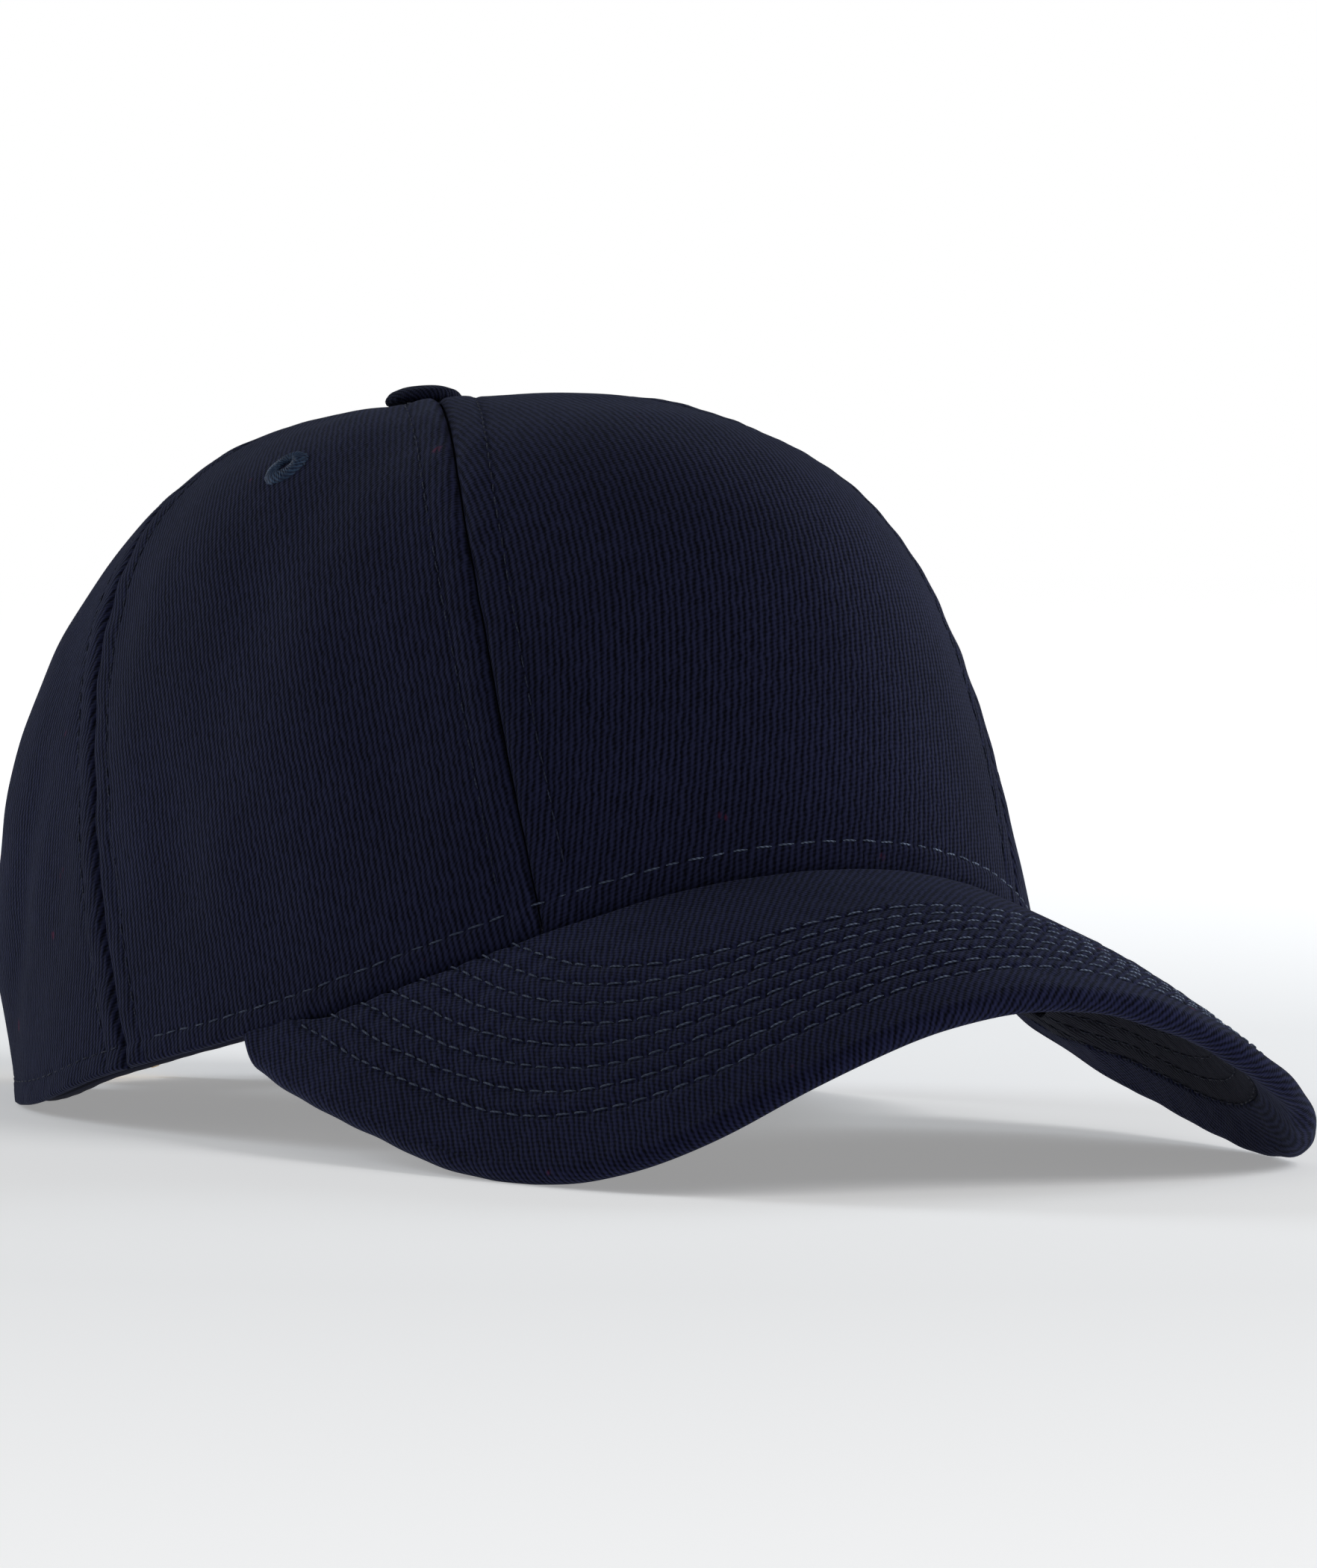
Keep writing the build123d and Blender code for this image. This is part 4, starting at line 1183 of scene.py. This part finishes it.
def brass(name, base, dark, rough):
    """Lacquered metal with fine brushing, small scratches and tarnish."""
    n = Nodes(name)
    place = n.node("TexCoord").outputs["Object"]
    drawn = n.node("Mapping", {"Vector": place, "Scale": (1.0, 1.0, 9.0)}).outputs[0]
    lines = n.noise(drawn, 900.0, 3.0, 0.6)
    tarnish = n.ramp(n.noise(place, 210.0, 4.0, 0.6), 0.48, 0.68)
    colour = n.mix(n.math("MULTIPLY", tarnish, 0.2), base, dark)
    wear = n.math("ADD", lines, n.math("MULTIPLY", tarnish, 0.6))
    roughness = n.ramp(wear, 0.3, 1.2, rough, rough + 0.3)
    return n.surface(colour, roughness, (lines, 0.25, 0.03 * MM), {"Metallic": 1.0})


def plastic(name, base, light):
    """Moulded polyethylene board with a faint flow grain."""
    n = Nodes(name)
    place = n.node("TexCoord").outputs["Object"]
    grain = n.noise(place, 700.0, 3.0, 0.6)
    colour = n.mix(n.ramp(n.noise(place, 60.0), 0.35, 0.65), base, light)
    return n.surface(colour, n.ramp(grain, 0.3, 0.7, 0.42, 0.58), (grain, 0.2, 0.05 * MM))


NAVY_DARK, NAVY_LIGHT = srgb(8, 9, 19), srgb(36, 39, 66)
crown_cloth = twill("crown_twill", NAVY_DARK, NAVY_LIGHT)
visor_cloth = twill("visor_twill", NAVY_DARK, srgb(36, 39, 69))
under_cloth = twill("visor_under_twill", srgb(9, 9, 14), srgb(33, 33, 45), fleck=0.2)
button_cloth = twill("button_cloth", srgb(9, 10, 20), srgb(28, 31, 52), spacing=0.8 * MM, fleck=0.1)
# The topstitch thread carries painted light: paler round the front middle, darker towards either side.
topstitch = thread("topstitch_thread", srgb(48, 56, 76), srgb(150, 166, 196), painted_light_fade=True)
quiet_thread = thread("quiet_thread", srgb(22, 26, 42), srgb(48, 56, 80))
eyelet_silk = thread("eyelet_thread", srgb(24, 34, 58), srgb(62, 86, 116), rough=0.5)
shadow_cloth = plain_weave("eyelet_shadow", srgb(3, 3, 7), srgb(8, 8, 14), 0.5 * MM, 0.05 * MM)
band_cloth = plain_weave("sweatband_cloth", srgb(14, 15, 28), srgb(36, 39, 60), 0.42 * MM, 0.08 * MM)
tape_cloth = plain_weave("seam_tape", srgb(12, 13, 24), srgb(34, 37, 58), 0.5 * MM, 0.09 * MM)
gauze = plain_weave("buckram", srgb(120, 122, 122), srgb(206, 207, 204), 0.9 * MM, 0.16 * MM, holes=0.5)
board = plastic("visor_plastic", srgb(30, 32, 38), srgb(42, 44, 50))
dull_metal = brass("button_metal", srgb(150, 152, 156), srgb(96, 98, 102), 0.34)
clasp_metal = brass("clasp_brass", srgb(196, 160, 92), srgb(122, 92, 46), 0.24)


# ---------------------------------------------------------------- the cap
def dress(piece, material, slot, *nodes, body="cap"):
    piece.data.materials.append(material)
    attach(piece, body)
    if nodes:
        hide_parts(*nodes)
    return piece


def mirror_line(line):
    return lambda t: -line(t)


def navy(piece, node):
    dress(piece, crown_cloth, "crown_twill", node)


def taped(piece, node):
    dress(piece, tape_cloth, "seam_tape", node)


front_right, rear_right = mirror_line(front_seam), mirror_line(rear_seam)
navy(panel_piece("front_panel_cloth", front_right, front_seam, 0.0, 12, 0.28, 190, 165), "front_panel")
navy(panel_piece("side_panel_cloth_left", front_seam, rear_seam, 60.0, -12, 0.2), "side_panel_left")
navy(panel_piece("side_panel_cloth_right", rear_right, front_right, -60.0, -12, 0.2), "side_panel_right")
navy(back_panel("back_panel_cloth_left", 1), "back_panel_left")
navy(back_panel("back_panel_cloth_right", -1), "back_panel_right")
dress(visor_top(), visor_cloth, "visor_twill", "visor_top_fabric")
dress(visor_under(), under_cloth, "visor_twill", "visor_under_fabric")
dress(visor_core(), board, "visor_plastic", "visor_board")
dress(button(), button_cloth, "button_cloth", "button_cover")
dress(front_buckram(), gauze, "buckram", "front_buckram")

for side, tail in ((1, "left"), (-1, "right")):
    taped(seam_tape("front_tape_" + tail, front_seam, 0.02, 0.95, side), "front_seam_tape_" + tail)
    taped(seam_tape("rear_tape_" + tail, rear_seam, 0.02, 0.95, side), "rear_seam_tape_" + tail)
above_arch = float(find_on_back(np.zeros(1), np.array([ARCH_HEIGHT + 3.0]))[1][0])
taped(seam_tape("centre_back_tape_cloth", lambda t: 180 + 0 * t, above_arch, 0.95), "centre_back_tape")
taped(arch_binding(), "arch_binding")


def sweatband_relief(across, up, edge):
    fold = groove(up, 26.0, 0.6, 0.25) + groove(up, 4.0, 0.6, 0.22)
    soft = 0.10 * np.sin(across * 0.21 + 0.6 * np.sin(up * 0.2)) + 0.06 * np.sin(across * 0.9 + up * 0.3)
    return 0 * soft, -(fold + soft)


def strap_relief(across, up, edge):
    rows = groove(edge, 2.6, 0.5, 0.22) + 0.05 * np.sin(across * 0.8)
    return rows, -rows


reach = 180 - math.degrees(math.asin((ARCH_HALF_WIDTH - 1) / HALF_WIDTH)) - 1
sweatband = (-reach, reach, 0.8, SWEATBAND_WIDTH, SWEATBAND_LAYER, sweatband_relief, 520, 40)
dress(band_piece("sweatband_cloth_band", *sweatband), band_cloth, "sweatband_cloth", "sweatband")
strap = (126, 240, STRAP_BOTTOM, STRAP_BOTTOM + STRAP_WIDTH, STRAP_LAYER, strap_relief, 300, 34, 4)
navy(band_piece("strap_cloth", *strap), "strap")
navy(strap_tab(), "strap_tab")

for where, (theta, t), seed in (("side", SIDE_EYELET, 31), ("back", BACK_EYELET, 32)):
    for tail, side in (("left", 1), ("right", -1)):
        ring, hole_shade = (where + "_eyelet_" + part + tail for part in ("ring_", "painted_shade_"))
        dress(eyelet(ring, theta * side, t, seed), eyelet_silk, "eyelet_thread", where + "_eyelet_" + tail)
        # The disc down each eyelet's hole is painted shade, in near-black cloth.
        dress(eyelet_dark(hole_shade, theta * side, t), shadow_cloth, "eyelet_thread")


# Stitching
visor_face, visor_back = on_visor(0.0), on_visor(-2 * RIM, -1)
rows_on_visor = visor_rows()
bright_runs = [stitch_run(visor_face, row, 40 + k) for k, row in enumerate(rows_on_visor)]
bright_runs.append(stitch_run(on_crown, hem_run(-BRIGHT_HEM_TO, BRIGHT_HEM_TO, HEM_STITCH_IN), 60))
dress(thread_piece("bright_topstitching", bright_runs), topstitch, "eyelet_thread")
thin = QUIET_STITCH["radius"]
quiet_runs = [stitch_run(visor_back, row, 70 + k, radius=thin) for k, row in enumerate(rows_on_visor)]
for side in (1, -1):
    for line in (front_seam, rear_seam):
        for offset in (-TOPSTITCH_IN, TOPSTITCH_IN):
            run = seam_run(line, offset, 0.045, 0.93, side)
            quiet_runs.append(stitch_run(on_crown, run, 80, **QUIET_STITCH))
    start, end = REAR_SEAM[0] + 2, 180 - math.degrees(math.asin(ARCH_HALF_WIDTH / HALF_WIDTH)) - 6
    run = hem_run(side * start, side * end, HEM_STITCH_IN)
    quiet_runs.append(stitch_run(on_crown, run, 81, **QUIET_STITCH))
dress(thread_piece("quiet_topstitching", quiet_runs), quiet_thread, "eyelet_thread")

# Metal keeps its CAD shapes
metals = [("buckle_" + part, clasp_metal) for part in ("frame", "pin", "lever")]
metals += [("button_shell", dull_metal), ("button_tack", dull_metal)]
for node, material in metals:
    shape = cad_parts[node]
    for k in range(max(1, len(shape.material_slots))):
        if not shape.material_slots:
            shape.data.materials.append(material)
        shape.material_slots[k].material = material


# ---------------------------------------------------------------- stage, light and camera
def floor():
    rim = 4.0
    points = np.array([[-rim, -rim, 0], [rim, -rim, 0], [rim, rim, 0], [-rim, rim, 0]])
    piece = make_mesh("floor", points, np.array([[0, 1, 2, 3]]))
    n = Nodes("floor")
    n.shader.inputs["Base Color"].default_value = (0.9, 0.9, 0.9, 1)
    n.shader.inputs["Roughness"].default_value = 0.9
    n.shader.inputs["Specular IOR Level"].default_value = 0.0
    # Painted light: the floor glows, its emission rising from 0.30 near the cap to 0.85 further out, and this
    # glow lights the cap from below.
    n.shader.inputs["Emission Color"].default_value = (1, 1, 1, 1)
    place = n.node("TexCoord").outputs["Object"]
    away = n.node("VectorMath", {0: place}, operation="LENGTH").outputs["Value"]
    n.feed(n.shader.inputs["Emission Strength"], n.ramp(away, 0.3, 1.6, 0.30, 0.85))
    piece.data.materials.append(n.material)


def area_light(name, place, size, watts, colour):
    data = bpy.data.lights.new(name, "AREA")
    data.shape, data.size, data.energy, data.color = "DISK", size, watts, colour
    lamp = bpy.data.objects.new(name, data)
    bpy.context.scene.collection.objects.link(lamp)
    lamp.location = place
    ahead = Vector((0, 0, 0.06)) - Vector(place)
    lamp.rotation_euler = ahead.to_track_quat("-Z", "Y").to_euler()


def camera():
    data = bpy.data.cameras.new("camera")
    data.sensor_width, data.lens, data.sensor_fit = 36.0, 227.6, "AUTO"
    data.clip_start, data.clip_end = 0.05, 20
    eye = bpy.data.objects.new("camera", data)
    bpy.context.scene.collection.objects.link(eye)
    right, up = (0.87347, -0.48676, 0.01044), (0.01094, 0.04107, 0.99909)
    back = (-0.48675, -0.87257, 0.04120)
    placed = Matrix((right, up, back)).transposed().to_4x4()
    placed.translation = (-0.80471, -1.46006, 0.12682)
    eye.matrix_world = placed
    bpy.context.scene.camera = eye


floor()
for lamp in LAMPS:
    area_light(*lamp)
camera()

world = bpy.data.worlds.new("studio")
bpy.context.scene.world = world
world.use_nodes = True
tree = world.node_tree
backdrop = tree.nodes["Background"]
backdrop.inputs[0].default_value = (1, 1, 1, 1)
seen = tree.nodes.new("ShaderNodeLightPath")
level = tree.nodes.new("ShaderNodeMapRange")
level.inputs["To Min"].default_value, level.inputs["To Max"].default_value = 0.16, 1.0
tree.links.new(seen.outputs["Is Camera Ray"], level.inputs["Value"])
tree.links.new(level.outputs["Result"], backdrop.inputs[1])
bpy.context.scene.view_settings.view_transform = "Standard"
